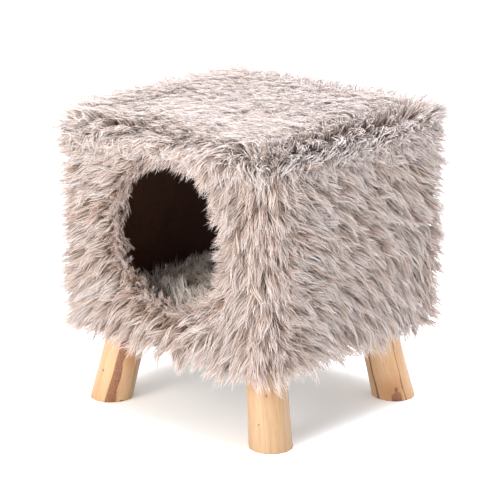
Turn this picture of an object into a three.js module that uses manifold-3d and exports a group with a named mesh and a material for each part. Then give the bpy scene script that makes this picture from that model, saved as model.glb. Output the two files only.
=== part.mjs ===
// A plush cat cabin: a small board box covered in long-pile plush, with a round entrance in its
// front, a loose cushion on its floor and four leaning round wooden legs bolted underneath.
// Millimetres. +Z is up, the entrance faces -Y, and the origin is on the floor under the middle.

import * as THREE from "three";
import { mergeVertices } from "three/addons/utils/BufferGeometryUtils.js";
import Module from "manifold-3d";

// ---- Driving dimensions ----

// The board box, outside its boards.
const CABINET_WIDTH = 312;
const CABINET_DEPTH = 298;
const CABINET_HEIGHT = 262;
const BOARD = 9;

// The round entrance: its diameter in the front board, and its sill above the floor board.
const ENTRANCE_DIAMETER = 200;
const ENTRANCE_SILL = 35;

// The plush wrap: backing and pressed pile together, and how far it hangs below the box.
const PLUSH = 18;
const PLUSH_SKIRT = 8;

// The fabric inside the box, and the binding round the entrance.
const LINING = 1.5;
const BINDING = 1.5;

// Glued corner blocks that brace the walls to the floor board.
const BLOCK_LEG = 34;
const BLOCK_HEIGHT = 26;

// Legs: the underside of the box above the floor, the log's size and how it leans.
const STAND_HEIGHT = 108;
const LEG_FOOT_DIAMETER = 55;
const LEG_TOP_DIAMETER = 52.5;
const LEG_LEAN_X = THREE.MathUtils.degToRad(12);
const LEG_LEAN_Y = THREE.MathUtils.degToRad(8);

// Steel leg plate, its screws and the hanger bolt that joins it to the leg.
const PLATE = 2.5;
const PLATE_RIM = 4.75;
const PLATE_CORNER = 5;
const PLATE_TO_EDGE = 7;
const SCREW_TO_CORNER = 5.5;
const SCREW_DIAMETER = 3.4;
const SCREW_BITE = 6;
const SCREW_HEAD_DIAMETER = 7;
const SCREW_HEAD = 2.2;
const BOLT_DIAMETER = 8;
const BOLT_IN_LEG = 38;
const BOLT_POINT = 5;
const BOLT_IN_BOARD = 5;

// The dust cover stapled under the floor board.
const DUST_COVER = 0.8;
const DUST_COVER_INSET = 4;

// The loose cushion.
const CUSHION_THICKNESS = 32;
const CUSHION_CORNER = 50;
const CUSHION_ROOM = 5;
const CUSHION_FABRIC = 2;

// Clearances between pieces that touch, round a screw or bolt, and round the dust cover's notches.
const GAP = 0.3;
const BORE_CLEARANCE = 0.3;
const NOTCH_CLEARANCE = 2;

// Facets of a full turn.
const ENTRANCE_FACETS = 64;
const LEG_FACETS = 40;
const BOLT_FACETS = 16;
const SCREW_FACETS = 12;
const CORNER_FACETS = 8;

// ---- Dimensions worked out from those ----

const INNER_WIDTH = CABINET_WIDTH - 2 * (BOARD + GAP);
const INNER_DEPTH = CABINET_DEPTH - 2 * BOARD;
const WALL_HEIGHT = CABINET_HEIGHT - 2 * (BOARD + GAP);
const WALL_BOTTOM = STAND_HEIGHT + BOARD + GAP;
const CABINET_TOP = STAND_HEIGHT + CABINET_HEIGHT;
const ENTRANCE_RADIUS = ENTRANCE_DIAMETER / 2;
const ENTRANCE_Z = STAND_HEIGHT + BOARD + ENTRANCE_SILL + ENTRANCE_RADIUS;
const PLUSH_WIDTH = CABINET_WIDTH + 2 * (GAP + PLUSH);
const PLUSH_DEPTH = CABINET_DEPTH + 2 * (GAP + PLUSH);
const PLUSH_BOTTOM = STAND_HEIGHT - PLUSH_SKIRT;
const BLOCK_BOTTOM = STAND_HEIGHT + BOARD + GAP;
const LINING_BOTTOM = BLOCK_BOTTOM + BLOCK_HEIGHT + GAP;
const CEILING_BOTTOM = CABINET_TOP - BOARD - 2 * GAP - LINING;
const LINING_HEIGHT = CEILING_BOTTOM - GAP - LINING_BOTTOM;
const PLATE_SIDE = LEG_TOP_DIAMETER + 2 * PLATE_RIM;
const PLATE_BOTTOM = STAND_HEIGHT - GAP - PLATE;
const LEG_TOP = PLATE_BOTTOM - GAP;
const LEG_TOP_X = CABINET_WIDTH / 2 - PLATE_TO_EDGE - PLATE_SIDE / 2;
const LEG_TOP_Y = CABINET_DEPTH / 2 - PLATE_TO_EDGE - PLATE_SIDE / 2;
const CUSHION_WIDTH = INNER_WIDTH - 2 * (GAP + LINING + CUSHION_ROOM);
const CUSHION_DEPTH = INNER_DEPTH - 2 * (GAP + LINING + CUSHION_ROOM);

// ---- Finishes ----

const finish = (color, roughness, metalness = 0) => ({ color, roughness, metalness });
const PLUSH_FINISH = finish(0xcbbcb2, 1);
const BOARD_FINISH = finish(0xb08d62, 0.8);
const LINING_FINISH = finish(0x34241a, 0.95);
const LOG_FINISH = finish(0xdcb07a, 0.6);
const STEEL_FINISH = finish(0xb9bcc0, 0.35, 1);
const COVER_FINISH = finish(0x2a2a2c, 0.95);
const FILLING_FINISH = finish(0xf2f0ea, 1);

// ---- Geometry helpers ----

const wasm = await Module();
wasm.setup();

// A closed mesh as a manifold-3d solid, with only its positions kept.
function solidOf(geometry) {
  const bare = new THREE.BufferGeometry();
  bare.setAttribute("position", geometry.getAttribute("position"));
  bare.setIndex(geometry.index);
  const merged = mergeVertices(bare, 1e-4);
  return new wasm.Manifold(
    new wasm.Mesh({
      numProp: 3,
      vertProperties: new Float32Array(merged.attributes.position.array),
      triVerts: new Uint32Array(merged.index.array),
    }),
  );
}

function geometryOf(solid) {
  const mesh = solid.getMesh();
  const geometry = new THREE.BufferGeometry();
  geometry.setAttribute("position", new THREE.BufferAttribute(mesh.vertProperties, 3));
  geometry.setIndex(new THREE.BufferAttribute(mesh.triVerts, 1));
  geometry.computeVertexNormals();
  return geometry;
}

function subtract(geometry, ...tools) {
  const cut = tools.reduce((left, tool) => left.subtract(solidOf(tool)), solidOf(geometry));
  return geometryOf(cut);
}

function intersect(geometry, other) {
  return geometryOf(solidOf(geometry).intersect(solidOf(other)));
}

// A box that stands on z = 0, centred on the origin.
function standingBox(width, depth, height) {
  return new THREE.BoxGeometry(width, depth, height).translate(0, 0, height / 2);
}

// A cylinder along Z, from one height to another.
function uprightRod(radius, bottom, top, facets) {
  const rod = new THREE.CylinderGeometry(radius, radius, top - bottom, facets);
  return rod.rotateX(Math.PI / 2).translate(0, 0, (bottom + top) / 2);
}

// A cylinder along Y, centred on the origin.
function crosswiseRod(radius, length, facets) {
  return new THREE.CylinderGeometry(radius, radius, length, facets);
}

// A turned piece about Z, from [radius, height] points that start and end on the axis.
function turned(profile, facets) {
  const points = profile.map(([radius, height]) => new THREE.Vector2(radius, height));
  return new THREE.LatheGeometry(points, facets).rotateX(Math.PI / 2);
}

function roundedRectangle(width, depth, radius) {
  const x = width / 2 - radius;
  const y = depth / 2 - radius;
  const shape = new THREE.Shape();
  shape.absarc(x, y, radius, 0, Math.PI / 2);
  shape.absarc(-x, y, radius, Math.PI / 2, Math.PI);
  shape.absarc(-x, -y, radius, Math.PI, 1.5 * Math.PI);
  shape.absarc(x, -y, radius, 1.5 * Math.PI, 2 * Math.PI);
  shape.closePath();
  return shape;
}

function extruded(shape, height) {
  return new THREE.ExtrudeGeometry(shape, {
    depth: height,
    bevelEnabled: false,
    curveSegments: CORNER_FACETS,
  });
}

function piece(name, geometry, look, x, y, z) {
  const mesh = new THREE.Mesh(geometry, new THREE.MeshStandardMaterial(look));
  mesh.name = name;
  mesh.position.set(x, y, z);
  return mesh;
}

// ---- Corners: each leg stands at one, with its signs along X and Y ----

const CORNERS = [
  { tag: "front_left", signX: -1, signY: -1 },
  { tag: "front_right", signX: 1, signY: -1 },
  { tag: "back_left", signX: -1, signY: 1 },
  { tag: "back_right", signX: 1, signY: 1 },
];

// The turn that lays an upright piece along its leaning leg, foot outwards.
function leanOf({ signX, signY }) {
  const uphill = new THREE.Vector3(-signX * Math.tan(LEG_LEAN_X), -signY * Math.tan(LEG_LEAN_Y), 1);
  return new THREE.Quaternion().setFromUnitVectors(new THREE.Vector3(0, 0, 1), uphill.normalize());
}

// Where a plate's four screws stand, from the plate's middle.
const SCREW_OFFSET = PLATE_SIDE / 2 - SCREW_TO_CORNER;
const SCREW_PLACES = [
  [-SCREW_OFFSET, -SCREW_OFFSET],
  [SCREW_OFFSET, -SCREW_OFFSET],
  [-SCREW_OFFSET, SCREW_OFFSET],
  [SCREW_OFFSET, SCREW_OFFSET],
];

// ---- The board box ----

// The floor board is drilled for every plate screw and hanger bolt.
function floorBoard() {
  const bores = [];
  const screwBore = SCREW_DIAMETER / 2 + BORE_CLEARANCE;
  const boltReach = (PLATE + GAP + BOLT_IN_BOARD) * Math.tan(LEG_LEAN_X);
  const boltBore = BOLT_DIAMETER / 2 + BORE_CLEARANCE + boltReach;
  for (const { signX, signY } of CORNERS) {
    const x = signX * LEG_TOP_X;
    const y = signY * LEG_TOP_Y;
    bores.push(uprightRod(boltBore, -1, BOARD + 1, BOLT_FACETS).translate(x, y, 0));
    for (const [offsetX, offsetY] of SCREW_PLACES) {
      const depth = SCREW_BITE + BORE_CLEARANCE;
      const bore = uprightRod(screwBore, -1, depth, SCREW_FACETS);
      bores.push(bore.translate(x + offsetX, y + offsetY, 0));
    }
  }
  return subtract(standingBox(CABINET_WIDTH, CABINET_DEPTH, BOARD), ...bores);
}

// A flat panel in the front wall, with the round entrance through it.
function pierced(width, thickness, bottom, height, radius) {
  const hole = crosswiseRod(radius, thickness + 2, ENTRANCE_FACETS);
  const panel = standingBox(width, thickness, height);
  return subtract(panel, hole.translate(0, 0, ENTRANCE_Z - bottom));
}

function boardBox() {
  const group = new THREE.Group();
  const sideX = (CABINET_WIDTH - BOARD) / 2;
  const endY = (CABINET_DEPTH - BOARD) / 2;
  const side = () => standingBox(BOARD, CABINET_DEPTH, WALL_HEIGHT);
  const front = pierced(INNER_WIDTH, BOARD, WALL_BOTTOM, WALL_HEIGHT, ENTRANCE_RADIUS);
  const back = standingBox(INNER_WIDTH, BOARD, WALL_HEIGHT);
  const roof = standingBox(CABINET_WIDTH, CABINET_DEPTH, BOARD);
  group.add(
    piece("floor_board", floorBoard(), BOARD_FINISH, 0, 0, STAND_HEIGHT),
    piece("left_board", side(), BOARD_FINISH, -sideX, 0, WALL_BOTTOM),
    piece("right_board", side(), BOARD_FINISH, sideX, 0, WALL_BOTTOM),
    piece("front_board", front, BOARD_FINISH, 0, -endY, WALL_BOTTOM),
    piece("back_board", back, BOARD_FINISH, 0, endY, WALL_BOTTOM),
    piece("roof_board", roof, BOARD_FINISH, 0, 0, CABINET_TOP - BOARD),
  );
  return group;
}

// Three-cornered glue blocks in the floor's corners.
function cornerBlocks() {
  const group = new THREE.Group();
  const outerX = INNER_WIDTH / 2;
  const outerY = INNER_DEPTH / 2 - GAP;
  for (const { tag, signX, signY } of CORNERS) {
    const outline = new THREE.Shape([
      new THREE.Vector2(0, 0),
      new THREE.Vector2(-signX * BLOCK_LEG, 0),
      new THREE.Vector2(0, -signY * BLOCK_LEG),
    ]);
    const x = signX * outerX;
    const y = signY * outerY;
    const block = extruded(outline, BLOCK_HEIGHT);
    group.add(piece("corner_block_" + tag, block, BOARD_FINISH, x, y, BLOCK_BOTTOM));
  }
  return group;
}

// ---- Fabric on the box ----

function plushWrap() {
  const group = new THREE.Group();
  const height = CABINET_TOP - PLUSH_BOTTOM;
  const frontY = (PLUSH_DEPTH - PLUSH) / 2;
  const sideX = (PLUSH_WIDTH - PLUSH) / 2;
  const front = pierced(PLUSH_WIDTH, PLUSH, PLUSH_BOTTOM, height, ENTRANCE_RADIUS);
  const back = standingBox(PLUSH_WIDTH, PLUSH, height);
  const side = () => standingBox(PLUSH, CABINET_DEPTH, height);
  const roof = standingBox(PLUSH_WIDTH, PLUSH_DEPTH, PLUSH);
  group.add(
    piece("plush_front", front, PLUSH_FINISH, 0, -frontY, PLUSH_BOTTOM),
    piece("plush_back", back, PLUSH_FINISH, 0, frontY, PLUSH_BOTTOM),
    piece("plush_left", side(), PLUSH_FINISH, -sideX, 0, PLUSH_BOTTOM),
    piece("plush_right", side(), PLUSH_FINISH, sideX, 0, PLUSH_BOTTOM),
    piece("plush_roof", roof, PLUSH_FINISH, 0, 0, CABINET_TOP + GAP),
  );
  return group;
}

// The lining stops above the corner blocks, below the cushion's top.
function linings() {
  const group = new THREE.Group();
  const sideX = (INNER_WIDTH - LINING) / 2;
  const endY = INNER_DEPTH / 2 - GAP - LINING / 2;
  const sideDepth = INNER_DEPTH - 2 * GAP;
  const endWidth = INNER_WIDTH - 2 * (LINING + GAP);
  const side = () => standingBox(LINING, sideDepth, LINING_HEIGHT);
  const back = standingBox(endWidth, LINING, LINING_HEIGHT);
  const front = pierced(endWidth, LINING, LINING_BOTTOM, LINING_HEIGHT, ENTRANCE_RADIUS);
  const ceiling = standingBox(INNER_WIDTH, sideDepth, LINING);
  group.add(
    piece("lining_left", side(), LINING_FINISH, -sideX, 0, LINING_BOTTOM),
    piece("lining_right", side(), LINING_FINISH, sideX, 0, LINING_BOTTOM),
    piece("lining_back", back, LINING_FINISH, 0, endY, LINING_BOTTOM),
    piece("lining_front", front, LINING_FINISH, 0, -endY, LINING_BOTTOM),
    piece("lining_ceiling", ceiling, LINING_FINISH, 0, 0, CEILING_BOTTOM),
  );
  return group;
}

// A fabric sleeve round the cut edge of the front board and its lining.
function entranceBinding() {
  const length = BOARD + GAP + LINING;
  const outer = ENTRANCE_RADIUS - GAP;
  const sleeve = subtract(
    crosswiseRod(outer, length, ENTRANCE_FACETS),
    crosswiseRod(outer - BINDING, length + 2, ENTRANCE_FACETS),
  );
  const y = -CABINET_DEPTH / 2 + length / 2;
  return piece("entrance_binding", sleeve, LINING_FINISH, 0, y, ENTRANCE_Z);
}

// A thin sheet under the floor board, notched at its corners round the leg plates.
function dustCover() {
  const halfWidth = CABINET_WIDTH / 2 - DUST_COVER_INSET;
  const halfDepth = CABINET_DEPTH / 2 - DUST_COVER_INSET;
  const notchX = LEG_TOP_X - PLATE_SIDE / 2 - NOTCH_CLEARANCE;
  const notchY = LEG_TOP_Y - PLATE_SIDE / 2 - NOTCH_CLEARANCE;
  const outline = new THREE.Shape();
  outline.moveTo(notchX, -halfDepth);
  outline.lineTo(notchX, -notchY);
  outline.lineTo(halfWidth, -notchY);
  outline.lineTo(halfWidth, notchY);
  outline.lineTo(notchX, notchY);
  outline.lineTo(notchX, halfDepth);
  outline.lineTo(-notchX, halfDepth);
  outline.lineTo(-notchX, notchY);
  outline.lineTo(-halfWidth, notchY);
  outline.lineTo(-halfWidth, -notchY);
  outline.lineTo(-notchX, -notchY);
  outline.lineTo(-notchX, -halfDepth);
  outline.closePath();
  const sheet = extruded(outline, DUST_COVER);
  return piece("dust_cover", sheet, COVER_FINISH, 0, 0, STAND_HEIGHT - GAP - DUST_COVER);
}

// ---- Legs ----

// A tapered log laid along its lean and sawn level at the floor and under the plate.
function logLeg(lean) {
  const spare = LEG_FOOT_DIAMETER;
  const length = LEG_TOP + 2 * spare;
  const taper = (LEG_FOOT_DIAMETER - LEG_TOP_DIAMETER) / 2 / LEG_TOP;
  const bottomRadius = LEG_FOOT_DIAMETER / 2 + taper * spare;
  const topRadius = LEG_TOP_DIAMETER / 2 - taper * spare;
  const log = new THREE.CylinderGeometry(topRadius, bottomRadius, length, LEG_FACETS);
  log.rotateX(Math.PI / 2).translate(0, 0, -LEG_TOP / 2);
  log.applyQuaternion(lean);
  const level = standingBox(6 * spare, 6 * spare, LEG_TOP).translate(0, 0, -LEG_TOP);
  const boreRadius = BOLT_DIAMETER / 2 + BORE_CLEARANCE;
  const bore = uprightRod(boreRadius, -BOLT_IN_LEG - BORE_CLEARANCE, BOLT_DIAMETER, BOLT_FACETS);
  return subtract(intersect(log, level), bore.applyQuaternion(lean));
}

// A steel plate with four screw holes and a leaning bolt hole, its middle at the leg's top.
function legPlate(lean) {
  const outline = roundedRectangle(PLATE_SIDE, PLATE_SIDE, PLATE_CORNER);
  const plate = extruded(outline, PLATE).translate(0, 0, GAP);
  const reach = 2 * BOLT_DIAMETER;
  const boltHole = uprightRod(BOLT_DIAMETER / 2 + BORE_CLEARANCE, -reach, reach, BOLT_FACETS);
  const screwHoles = SCREW_PLACES.map(([x, y]) => {
    const hole = uprightRod(SCREW_DIAMETER / 2 + BORE_CLEARANCE, -1, PLATE + 1, SCREW_FACETS);
    return hole.translate(x, y, GAP);
  });
  return subtract(plate, boltHole.applyQuaternion(lean), ...screwHoles);
}

// A hanger bolt: a pointed wood thread below and a plain machine end above.
function hangerBolt(lean) {
  const radius = BOLT_DIAMETER / 2;
  const top = PLATE + 2 * GAP + BOLT_IN_BOARD;
  const chamfer = radius / 4;
  const profile = [
    [0, -BOLT_IN_LEG],
    [radius / 4, -BOLT_IN_LEG],
    [radius, -BOLT_IN_LEG + BOLT_POINT],
    [radius, top - chamfer],
    [radius - chamfer, top],
    [0, top],
  ];
  return turned(profile, BOLT_FACETS).applyQuaternion(lean);
}

// A dome-headed wood screw, head down, that starts under the plate.
function plateScrew() {
  const head = SCREW_HEAD_DIAMETER / 2;
  const shank = SCREW_DIAMETER / 2;
  const under = -GAP;
  const tip = PLATE + GAP + SCREW_BITE;
  const profile = [
    [0, under - SCREW_HEAD],
    [head * 0.6, under - SCREW_HEAD],
    [head, under - SCREW_HEAD / 3],
    [head, under],
    [shank, under],
    [shank, tip - 2 * shank],
    [0, tip],
  ];
  return turned(profile, SCREW_FACETS);
}

function legSet(corner) {
  const { tag, signX, signY } = corner;
  const lean = leanOf(corner);
  const group = new THREE.Group();
  group.position.set(signX * LEG_TOP_X, signY * LEG_TOP_Y, LEG_TOP);
  group.add(
    piece("leg_" + tag, logLeg(lean), LOG_FINISH, 0, 0, 0),
    piece("leg_plate_" + tag, legPlate(lean), STEEL_FINISH, 0, 0, 0),
    piece("leg_bolt_" + tag, hangerBolt(lean), STEEL_FINISH, 0, 0, 0),
  );
  SCREW_PLACES.forEach(([x, y], index) => {
    const name = "plate_screw_" + tag + "_" + (index + 1);
    group.add(piece(name, plateScrew(), STEEL_FINISH, x, y, GAP));
  });
  return group;
}

// ---- The loose cushion ----

function cushion() {
  const group = new THREE.Group();
  group.position.z = STAND_HEIGHT + BOARD + GAP;
  const outer = roundedRectangle(CUSHION_WIDTH, CUSHION_DEPTH, CUSHION_CORNER);
  const wall = CUSHION_FABRIC + GAP;
  const inner = roundedRectangle(
    CUSHION_WIDTH - 2 * wall,
    CUSHION_DEPTH - 2 * wall,
    CUSHION_CORNER - wall,
  );
  const pocket = roundedRectangle(
    CUSHION_WIDTH - 2 * CUSHION_FABRIC,
    CUSHION_DEPTH - 2 * CUSHION_FABRIC,
    CUSHION_CORNER - CUSHION_FABRIC,
  );
  const capBottom = CUSHION_FABRIC + GAP;
  const capHeight = CUSHION_THICKNESS - capBottom;
  const cap = subtract(
    extruded(outer, capHeight),
    extruded(pocket, capHeight - CUSHION_FABRIC + 1).translate(0, 0, -1),
  );
  const filling = extruded(inner, capHeight - CUSHION_FABRIC - GAP);
  group.add(
    piece("cushion_base_cover", extruded(outer, CUSHION_FABRIC), COVER_FINISH, 0, 0, 0),
    piece("cushion_filling", filling, FILLING_FINISH, 0, 0, capBottom),
    piece("cushion_top_cover", cap, PLUSH_FINISH, 0, 0, capBottom),
  );
  return group;
}

// ---- The whole object ----

const cabin = new THREE.Group();
cabin.add(boardBox(), cornerBlocks(), plushWrap(), linings(), entranceBinding(), dustCover());
cabin.add(...CORNERS.map(legSet));
cabin.add(cushion());

export default cabin;
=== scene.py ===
"""A plush cat cabin on log legs: its looks, built round the fixed frame.

Everything is in metres, with +Z up, the entrance facing -Y, and every piece at its place in its mesh.
"""

import math

import bpy
import numpy as np
from bpy.props import FloatProperty, FloatVectorProperty, IntProperty, PointerProperty, StringProperty
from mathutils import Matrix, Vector
from mathutils.bvhtree import BVHTree


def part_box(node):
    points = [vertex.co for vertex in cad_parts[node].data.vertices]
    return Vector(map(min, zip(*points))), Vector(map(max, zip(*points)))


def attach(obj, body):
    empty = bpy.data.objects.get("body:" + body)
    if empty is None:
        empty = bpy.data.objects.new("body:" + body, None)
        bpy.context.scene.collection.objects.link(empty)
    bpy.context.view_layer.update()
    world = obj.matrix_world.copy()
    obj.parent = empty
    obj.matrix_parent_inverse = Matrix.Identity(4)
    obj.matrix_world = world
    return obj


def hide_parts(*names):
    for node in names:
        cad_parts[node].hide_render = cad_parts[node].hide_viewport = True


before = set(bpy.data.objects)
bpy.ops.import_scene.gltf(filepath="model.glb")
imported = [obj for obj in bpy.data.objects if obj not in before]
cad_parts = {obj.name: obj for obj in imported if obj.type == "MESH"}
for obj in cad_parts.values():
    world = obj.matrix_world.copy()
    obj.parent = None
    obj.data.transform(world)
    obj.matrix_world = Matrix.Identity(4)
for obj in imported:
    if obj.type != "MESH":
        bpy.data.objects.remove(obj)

bl_info = {
    "name": "Plush Cat Cabin",
    "version": (1, 0, 0),
    "blender": (4, 5, 0),
    "location": "3D View > Sidebar > Cat Cabin",
    "description": "Builds a plush cat cabin on log legs, one piece at a time",
    "category": "Add Mesh",
}

MM = 0.001
UP = Vector((0, 0, 1))
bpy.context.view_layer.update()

# ---- Places, all taken from the frame ----

ROOF_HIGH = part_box("roof_board")[1]
BINDING_LOW, BINDING_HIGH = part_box("entrance_binding")
CUSHION_LOW, CUSHION_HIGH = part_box("cushion_top_cover")
CUSHION_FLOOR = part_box("cushion_base_cover")[0].z
CABIN_HALF = Vector((ROOF_HIGH.x, ROOF_HIGH.y))
LINED_HALF = Vector((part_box("lining_right")[0].x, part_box("lining_back")[0].y))
ENTRANCE_Z = (BINDING_LOW.z + BINDING_HIGH.z) / 2
ENTRANCE_RADIUS = BINDING_HIGH.x
UNDERSIDE_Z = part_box("floor_board")[0].z
WALL_TOP_Z = ROOF_HIGH.z

# The backing cloth lies this far outside the boards and turns each corner with this radius.
BACKING_OFFSET = 2.5 * MM
CORNER_RADIUS = 5 * MM
ROOF_EDGE_RADIUS = 12 * MM
# The pile fans out round each upright corner from this far either side of it.
CORNER_FAN = 30 * MM
BACKING_THICKNESS = 1.2 * MM

# Six boards, four glue blocks, four leg plates, four bolts and sixteen screws.
FRAME_PIECES = 34

# The inner cloths: how thick, how slack, and the share of a panel's width over which its edge is held.
LINING_CLOTH = 0.9 * MM
LINING_SLACK = 0.5 * MM
SLACK_EDGE = 0.12
BINDING_CLOTH = 1.5 * MM
DUST_CLOTH = 0.35 * MM
# The round cutter goes this far through the front cloths, half of it to each side.
CUTTER_DEPTH = 60 * MM
# Bands in which meshes are searched: for a leg's end rings, and for edges that lie level.
RING_BAND = 0.2 * MM
LEVEL = 0.01 * MM

WALLS = ("front", "right", "back", "left")


# ---- Materials ----


def linear(colour, alpha=1.0):
    """An sRGB hex colour such as "#cbbcb2" as linear red, green, blue and alpha."""
    channels = [int(colour[i:i + 2], 16) / 255 for i in (1, 3, 5)]
    curved = [c / 12.92 if c <= 0.04045 else ((c + 0.055) / 1.055) ** 2.4 for c in channels]
    return (*curved, alpha)


def node(tree, kind, inputs=None, stops=None, **settings):
    """Adds a node, sets what it is told, and links or fills its inputs."""
    made = tree.nodes.new("ShaderNode" + kind)
    for name, value in settings.items():
        setattr(made, name, value)
    for socket, value in (inputs or {}).items():
        if isinstance(value, bpy.types.NodeSocket):
            tree.links.new(value, made.inputs[socket])
        else:
            made.inputs[socket].default_value = value
    if stops:
        points = made.color_ramp.elements
        while len(points) < len(stops):
            points.new(0.5)
        for point, (place, colour) in zip(points, stops):
            point.position = place
            point.color = linear(colour) if isinstance(colour, str) else (colour,) * 3 + (1,)
    return made


def new_material(name):
    """An empty material with its node tree and output node."""
    material = bpy.data.materials.new(name)
    material.use_nodes = True
    tree = material.node_tree
    tree.nodes.clear()
    return material, tree, tree.nodes.new("ShaderNodeOutputMaterial")


def finish_material(tree, output, shader):
    tree.links.new(shader.outputs[0], output.inputs["Surface"])


def scale_for(size):
    """The scale of a pattern in Object coordinates whose marks are this far apart, in metres."""
    return 1 / size


def pile_material(name, brown, pale, cool):
    """Acrylic long-pile faux fur, tip-dyed: dark at the root and pale at the tip. Some hairs are
    browner and some cooler, and light passes a little way into a lock.

    The strand's map gives its tone across and the way along it from root to tip, so the colour
    follows each hair wherever it lies. The hairs run from brown through pale to cool as the tone
    rises.
    """
    material, tree, output = new_material(name)
    place = node(tree, "UVMap", uv_map="OFBake")
    parts = node(tree, "SeparateXYZ", {"Vector": place.outputs["UV"]})
    colour = node(tree, "ValToRGB", {"Fac": parts.outputs["Y"]}, stops=brown).outputs["Color"]
    for stops, first, last in ((pale, 0.12, 0.75), (cool, 0.7, 0.95)):
        hair = node(tree, "ValToRGB", {"Fac": parts.outputs["Y"]}, stops=stops)
        share = node(tree, "ValToRGB", {"Fac": parts.outputs["X"]}, stops=[(first, 0.0), (last, 1.0)])
        colour = node(tree, "Mix", {"Factor": share.outputs["Color"], "A": colour,
                                    "B": hair.outputs["Color"]}, data_type="RGBA").outputs["Result"]
    shader = node(tree, "BsdfPrincipled", {
        "Base Color": colour, "Roughness": 0.62, "IOR": 1.5,
        "Subsurface Weight": 0.35, "Subsurface Radius": (1.0, 0.8, 0.7), "Subsurface Scale": 4 * MM,
        "Sheen Weight": 0.25, "Sheen Roughness": 0.4})
    finish_material(tree, output, shader)
    return material


def knit_material(name, colour, dark, stitch, roughness=0.9):
    """Warp-knit polyester: small regular loops a stitch apart, in two close tones, faintly raised.

    Real loops are half a millimetre apart, too fine to show, so the stitch is drawn coarser.
    """
    material, tree, output = new_material(name)
    place = node(tree, "TexCoord")
    spread = node(tree, "TexNoise", {"Vector": place.outputs["Object"], "Scale": scale_for(22.2 * MM),
                                     "Detail": 3.0})
    loops = node(tree, "TexVoronoi", {"Vector": place.outputs["Object"], "Scale": scale_for(stitch)})
    tone = node(tree, "Math", {0: loops.outputs["Distance"], 1: spread.outputs["Fac"]},
                operation="MULTIPLY")
    colours = node(tree, "ValToRGB", {"Fac": tone.outputs[0]}, stops=[(0.0, colour), (0.55, dark)])
    bump = node(tree, "Bump", {"Height": loops.outputs["Distance"], "Strength": 0.35,
                               "Distance": 0.4 * MM})
    shader = node(tree, "BsdfPrincipled", {
        "Base Color": colours.outputs["Color"], "Roughness": roughness, "Normal": bump.outputs["Normal"],
        "Sheen Weight": 0.2})
    finish_material(tree, output, shader)
    return material


def fibreboard_material():
    """Raw medium-density fibreboard: pressed fibres about a millimetre long, which make it mealy and
    matt, a little darker in patches about 55 mm wide."""
    material, tree, output = new_material("medium_density_fibreboard_raw")
    place = node(tree, "TexCoord")
    fibres = node(tree, "TexNoise", {"Vector": place.outputs["Object"], "Scale": scale_for(1.11 * MM),
                                     "Detail": 6.0})
    patches = node(tree, "TexNoise", {"Vector": place.outputs["Object"], "Scale": scale_for(55.5 * MM),
                                      "Detail": 2.0})
    tone = node(tree, "Math", {0: fibres.outputs["Fac"], 1: patches.outputs["Fac"]},
                operation="MULTIPLY")
    colours = node(tree, "ValToRGB", {"Fac": tone.outputs[0]},
                   stops=[(0.1, "#8a6a45"), (0.25, "#b08d62"), (0.45, "#c7a67c")])
    bump = node(tree, "Bump", {"Height": fibres.outputs["Fac"], "Strength": 0.2, "Distance": 0.2 * MM})
    shader = node(tree, "BsdfPrincipled", {
        "Base Color": colours.outputs["Color"], "Roughness": 0.82, "Normal": bump.outputs["Normal"]})
    finish_material(tree, output, shader)
    return material


def zinc_material():
    """Bright zinc-plated steel: a cold metal, slightly mottled by spangles about 4 mm wide."""
    material, tree, output = new_material("zinc_plated_steel")
    place = node(tree, "TexCoord")
    mottle = node(tree, "TexNoise", {"Vector": place.outputs["Object"], "Scale": scale_for(3.85 * MM),
                                     "Detail": 4.0})
    colours = node(tree, "ValToRGB", {"Fac": mottle.outputs["Fac"]},
                   stops=[(0.35, "#a9adb3"), (0.65, "#cfd2d4")])
    rough = node(tree, "MapRange", {"Value": mottle.outputs["Fac"], "To Min": 0.24, "To Max": 0.42})
    shader = node(tree, "BsdfPrincipled", {
        "Base Color": colours.outputs["Color"], "Metallic": 1.0, "Roughness": rough.outputs["Result"]})
    finish_material(tree, output, shader)
    return material


# How much shorter the grain's pattern is along the log than across it.
ALONG_THE_GRAIN = 0.055


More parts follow.
